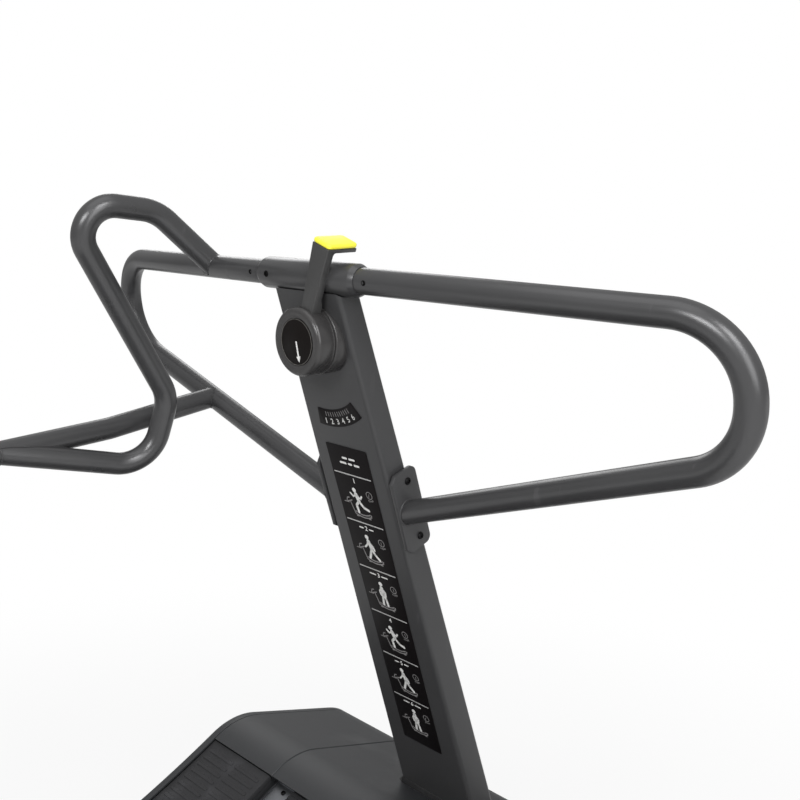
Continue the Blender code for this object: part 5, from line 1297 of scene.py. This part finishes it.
def make_side_covers():
    margin = STEP_HEIGHT + COVER_RISE
    front, wide = LENGTH / 2, COVER_WIDTH / 2
    stations = ((wide - COVER_WALL, 0.036), (wide - COVER_WALL, COVER_WALL), (wide - COVER_RIM, COVER_WALL),
                (wide - COVER_RIM, 0.0), (wide - 0.0040, 0.0), (wide - 0.0012, 0.0010), (wide, 0.0040),
                (wide, 0.0300), (wide - 0.0016, 0.0308), (wide - 0.0016, 0.0342), (wide, 0.0350))
    line = machine_outline(margin - 0.017, COVER_BOTTOM + 0.017, front - 0.017)
    lengths = [0.0]
    for a, b in zip(line, line[1:] + line[:1]):
        lengths.append(lengths[-1] + math.dist(a, b))
    screws = []
    for i in range(COVER_SCREWS):
        wanted = lengths[-1] * (i + 0.5) / COVER_SCREWS
        k = max(j for j in range(len(line)) if lengths[j] <= wanted)
        a, b = Vector(line[k]), Vector(line[(k + 1) % len(line)])
        screws.append(a.lerp(b, (wanted - lengths[k]) / (lengths[k + 1] - lengths[k])))
    for name, side in SIDES:
        rings = []
        for x, inset in stations:
            outline = machine_outline(margin - inset, COVER_BOTTOM + inset, front - inset)
            rings.append([(side * x, y, z) for y, z in outline])
        piece("side_shell_" + name, loft(rings), COVER_PLASTIC, slot="cover_plastic",
              replaces=["side_cover_" + name])
        places = [((side * (wide - 0.0002), *spot), (side, 0, 0)) for spot in screws]
        spots("side_shell_screws_" + name, button_screw(*COVER_SCREW), places, BLACK_STEEL, seed=5)


def make_end_covers():
    margin = STEP_HEIGHT + COVER_RISE
    half = COVER_WIDTH / 2 - COVER_RIM - COVER_GAP

    def front_line(height, inset):
        end = track_angle(STEP_ENDS[1] + COVER_GAP)
        running = arc(PATH.upper, TRACK_RADIUS - height, PATH.track_front, end, 6)
        return nose_points(height, COVER_BOTTOM, LENGTH / 2 - inset) + running[1:]

    def rear_line(height, _):
        start = track_angle(STEP_ENDS[0] - COVER_GAP)
        running = arc(PATH.upper, TRACK_RADIUS - height, start, PATH.track_rear, 6)
        return running[:-1] + tail_points(height, REAR_COVER_BOTTOM)

    def shell(points, crease):
        groove = ((-0.0024, 0.0), (-0.0012, 0.0014), (0.0012, 0.0014), (0.0024, 0.0))
        stations = [(-half, 0.0008), (-half + 0.0008, 0.0)]
        stations += [(x + step, inset) for x in (-crease, crease) for step, inset in groove]
        stations += [(half - 0.0008, 0.0), (half, 0.0008)]
        rings = []
        for x, inset in stations:
            outline = points(margin - inset, inset) + points(margin - COVER_WALL, COVER_WALL)[::-1]
            rings.append([(x, y, z) for y, z in outline])
        return loft(rings)

    clearance = loft([mast_ring(up, 0.002, MAST_CORNER) for up in (MAST_TOP - MAST_LENGTH, MAST_TOP)])
    piece("nose_shell", shell(front_line, NOSE_CREASE_X), COVER_PLASTIC,
          cutters=[tool(clearance, MAST_PLACE)], slot="cover_plastic", replaces=["front_cover"])
    piece("tail_shell", shell(rear_line, TAIL_CREASE_X), COVER_PLASTIC, slot="cover_plastic",
          replaces=["rear_cover"])
    columns = (-0.36, -0.12, 0.12, 0.36)
    screws = [((x, LENGTH / 2 - 0.0002, z), (0, 1, 0)) for x in columns for z in (0.085, 0.210)]
    tail_y = tail_points(margin, REAR_COVER_BOTTOM)[-1][0]
    screws += [((x, tail_y + 0.0002, 0.125), (0, -1, 0)) for x in columns]
    spots("end_shell_screws", button_screw(*COVER_SCREW), screws, BLACK_STEEL, seed=9)
    make_mast_boot()


def cover_height(y):
    """Top of the covers over a point of the floor, on the nose."""
    outline = nose_points(STEP_HEIGHT + COVER_RISE, COVER_BOTTOM, LENGTH / 2)
    for (y0, z0), (y1, z1) in zip(outline, outline[1:]):
        if y1 <= y <= y0 and y0 > y1:
            return z0 + (z1 - z0) * (y - y0) / (y1 - y0)
    return outline[-1][1]


def make_mast_boot():
    """Rubber collar that closes the gap between the mast and the front cover."""
    hits = []
    for x, y, _ in mast_ring(BOOT_SECTION, 0, MAST_CORNER):
        low, high = BOOT_SEARCH
        for _ in range(40):
            middle = (low + high) / 2
            spot = in_mast(x, y, middle)
            low, high = (low, middle) if spot.z > cover_height(spot.y) else (middle, high)
        hits.append(low)
    section = ((0.0004, -0.008), (0.0110, -0.008), (0.0115, 0.0010), (0.0100, 0.0024), (0.0050, 0.0032),
               (0.0030, 0.0090), (0.0014, 0.0118), (0.0004, 0.0122))
    rings = [[mast_ring(up + rise, grow, MAST_CORNER + grow)[i] for i, up in enumerate(hits)]
             for grow, rise in section]
    piece("mast_boot", loft(rings, closed=True), BELT_RUBBER, place=MAST_PLACE)


# Base
def make_base():
    for name, y, side in (("rear", RAIL_ENDS[0], -1), ("front", RAIL_ENDS[1], 1)):
        plugs = bmesh.new()
        for x in (-RAIL_X, RAIL_X):
            rings = []
            for out, inset in ((-0.006, 0.0035), (0.0, 0.0035), (0.0, 0.0), (0.0018, 0.0), (0.0032, 0.0016)):
                w, h = RAIL_HALVES[0] - inset, RAIL_HALVES[1] - inset
                rings.append([(x + a, y + side * out, RAIL_MIDDLE + b) for a, b in rectangle(-w, -h, w, h)])
            loft(rings, bm=plugs)
        piece("rail_plugs_" + name, plugs, TRIM_PLASTIC)
    back = -LENGTH / 2 + HANDLE_RADIUS
    corners = [(-HANDLE_X, HANDLE_START), (-HANDLE_X, back), (HANDLE_X, back), (HANDLE_X, HANDLE_START)]
    line = rounded_path(at_height(corners, HANDLE_HEIGHT), HANDLE_BEND)
    tube("rear_handle_tube", line, HANDLE_RADIUS, slot="tube_paint", replaces=["rear_handle"], sides=32)
    flange = [(0.0095, 0.7655), (0.0185, 0.7655), (0.0190, 0.7680), (0.0180, 0.7690), (0.0125, 0.7690),
              (0.0103, 0.7712), (0.0095, 0.7712)]
    lying = Matrix.Rotation(math.pi / 2, 4, "X")
    pair = [(turn(flange, 48), Matrix.Translation((x, 0, HANDLE_HEIGHT)) @ lying)
            for x in (-HANDLE_X, HANDLE_X)]
    piece("rear_handle_flanges", gathered(pair), FRAME_PAINT)


def make_feet():
    pad = [(0, 0), (0.0210, 0), (0.0222, 0.0006), (0.0240, 0.0030), (0.0240, 0.0096), (0.0232, 0.0108),
           (0.0150, 0.0128), (0.0120, 0.0146), (0.0075, 0.0150), (0, 0.0150)]
    stem = [(0, 0.0150)]
    for i in range(STEM_THREADS):
        z = 0.0156 + 0.0015 * i
        stem += [(0.0052, z), (0.0060, z + 0.00075)]
    stem += [(0.0052, 0.0696), (0, 0.0700)]
    nut = ((0.0098, 0.0151), (0.0102, 0.0158), (0.0102, 0.0205), (0.0094, 0.0212))
    for end, y in (("front", FOOT_Y), ("rear", -FOOT_Y)):
        for side, sign in SIDES:
            x, body = sign * RAIL_X, "foot_%s_%s" % (end, side)
            node = frame["record"]["behaviour"]["bodies"][body][0]
            piece(body + "_pad", turn(pad, 64, "Z", (x, y, 0)), FOOT_RUBBER, body, slot="foot_rubber",
                  replaces=[node])
            bm = turn(stem, 24, "Z", (x, y, 0))
            loft([at_height(disc((x, y), r, 6), z) for r, z in nut], bm=bm)
            piece(body + "_stem", bm, ZINC, body, slot="steel")


def make_wheels():
    middle = RAIL_X + RAIL_HALVES[0] + 0.004 + WHEEL_WIDTH / 2
    tyre = mirrored([(0.0290, -0.0112), (0.0380, -0.0118), (0.0394, -0.0108), (0.0400, -0.0090),
                     (0.0400, -0.0034), (0.0392, -0.0026)], 1, -1)
    hub = mirrored([(0.0054, -0.0120), (0.0110, -0.0120), (0.0120, -0.0110), (0.0125, -0.0040),
                    (0.0255, -0.0040), (0.0265, -0.0108), (0.0290, -0.0114)], 1, -1)
    line = [(0, 0.0118 * math.cos(t), 0.0118 * math.sin(t)) for t in (FULL * i / 60 for i in range(60))][::-1]
    for side, sign in SIDES:
        name = "wheel_" + side
        node = frame["record"]["behaviour"]["bodies"][name][0]
        parts = (("tyre", tyre, FOOT_RUBBER, [node]), ("hub", hub, TRIM_PLASTIC, []))
        for part, profile, finish, replaced in parts:
            bm = turn([(r, sign * middle + x) for r, x in profile], 72, "X", WHEEL_PLACE)
            piece(name + "_" + part, bm, finish, name, replaces=replaced)
        rib = block((sign * middle - 0.0095, -0.0010, 0), (sign * middle + 0.0095, 0.0010, 0.0150))
        row(name + "_ribs", rib, line, 6, TRIM_PLASTIC, name, cyclic=True,
            place=Matrix.Translation(WHEEL_PLACE))


# What stays as packed gets its finish
KEPT = {
    ZINC: ("wheel_axle", "cable_cam"),
    SHAFT_STEEL: ("front_shaft", "rear_shaft", "flywheel_shaft", "selector_shaft"),
    BELT_RUBBER: ("brake_cable", "brake_belt"),
    NICKEL: ("brake_magnet",),
    CAST_IRON: ("magnet_carriage", "flywheel_bearing", "front_bearing_left", "front_bearing_right",
                "rear_bearing_left", "rear_bearing_right"),
    FRAME_PAINT: ("brake_bracket", "side_plate_left", "side_plate_right", "front_beam", "rear_beam",
                  "base_rail_left", "base_rail_right"),
}


def paint_kept():
    for finish, names in KEPT.items():
        for name in names:
            mesh = frame["nodes"][name].data
            mesh.materials.clear()
            mesh.materials.append(finish)


# Studio, with each lamp's place, aim, size and watts
LAMPS = {
    "key": ((1.2, -2.6, 2.9), (0, 0.4, 0.9), (1.6, 1.0), 66),
    "side": ((3.0, -0.4, 1.9), (0, 0.4, 1.1), (1.6, 1.6), 30),
    "over": ((2.4, -0.3, 3.2), (0.2, 0.3, 1.1), (1.2, 1.2), 40),
    "top": ((0.0, -0.2, 3.6), (0, 0.1, 0.9), (2.0, 2.0), 12),
    "fill": ((-2.4, 2.2, 2.4), (0, 0.3, 0.7), (1.4, 1.4), 16),
}
FLOOR_HALF = 9.0


def lamp(name, spot, aim, size, power):
    light = bpy.data.lights.new(name, "AREA")
    light.shape = "RECTANGLE"
    light.size, light.size_y = size
    light.energy = power
    obj = linked(name, light)
    obj.location = spot
    obj.rotation_euler = (Vector(aim) - Vector(spot)).to_track_quat("-Z", "Y").to_euler()


def make_floor():
    """A pale floor that shows white to the camera and keeps the machine's shadow."""
    mesh = bpy.data.meshes.new("floor")
    corners = rectangle(-FLOOR_HALF, -FLOOR_HALF, FLOOR_HALF, FLOOR_HALF)
    mesh.from_pydata(at_height(corners, 0), [], [(0, 1, 2, 3)])
    floor = linked("floor", mesh)
    f = Finish("pale_floor", (0.72, 0.72, 0.72), 0.9, Specular_IOR_Level=0.1)
    rays = f.node("ShaderNodeLightPath").outputs
    place = f.node("ShaderNodeTexCoord").outputs["Object"]
    away = Value(f, f.node("ShaderNodeVectorMath", {0: place}, operation="LENGTH").outputs["Value"])
    far = away.past(1.3, 1.2)
    seen = Value(f, rays["Is Camera Ray"]).larger(Value(f, rays["Is Glossy Ray"]) * (far * 0.4 + 0.1))
    glow = f.node("ShaderNodeEmission", {"Color": (1, 1, 1, 1), "Strength": 1.0})
    share = seen * (far * 0.15 + 0.85)
    mixed = f.node("ShaderNodeMixShader", {0: share, 1: f.shader.outputs[0], 2: glow.outputs[0]})
    f.tree.links.new(mixed.outputs[0], f.tree.nodes["Material Output"].inputs["Surface"])
    mesh.materials.append(f.material)


def make_studio():
    world = bpy.data.worlds.new("studio")
    world.use_nodes = True
    bpy.context.scene.world = world
    w = Graph(world.node_tree)
    rays = w.node("ShaderNodeLightPath").outputs
    seen = Value(w, rays["Is Camera Ray"]).larger(Value(w, rays["Is Transmission Ray"]))
    seen = seen.larger(Value(w, rays["Is Glossy Ray"]) * 0.15)
    way = w.node("ShaderNodeSeparateXYZ", {0: w.node("ShaderNodeTexCoord").outputs["Generated"]})
    level = 0.14 + Value(w, way.outputs["Z"]).past(-0.5, 1.4) * 0.36
    background = world.node_tree.nodes["Background"]
    background.inputs["Color"].default_value = (1, 1, 1, 1)
    world.node_tree.links.new((level * (1 - seen) + seen).socket, background.inputs["Strength"])
    for name, settings in LAMPS.items():
        lamp(name, *settings)
    make_floor()


def make_camera():
    lens = bpy.data.cameras.new("camera")
    lens.sensor_width = 36
    lens.lens = CAMERA_LENS
    lens.clip_start = 0.05
    camera = linked("camera", lens)
    camera.location = CAMERA_PLACE
    camera.rotation_euler = CAMERA_TURN
    bpy.context.scene.camera = camera
    bpy.context.scene.view_settings.view_transform = "Standard"


make_camera()
make_studio()
make_mast()
make_handlebar()
make_plates()
make_side_handles()
make_selector()
make_scale()
make_chart()
make_belt()
make_roller_tracks()
make_turned()
make_spring()
make_steps()
make_side_covers()
make_end_covers()
make_base()
make_feet()
make_wheels()
paint_kept()
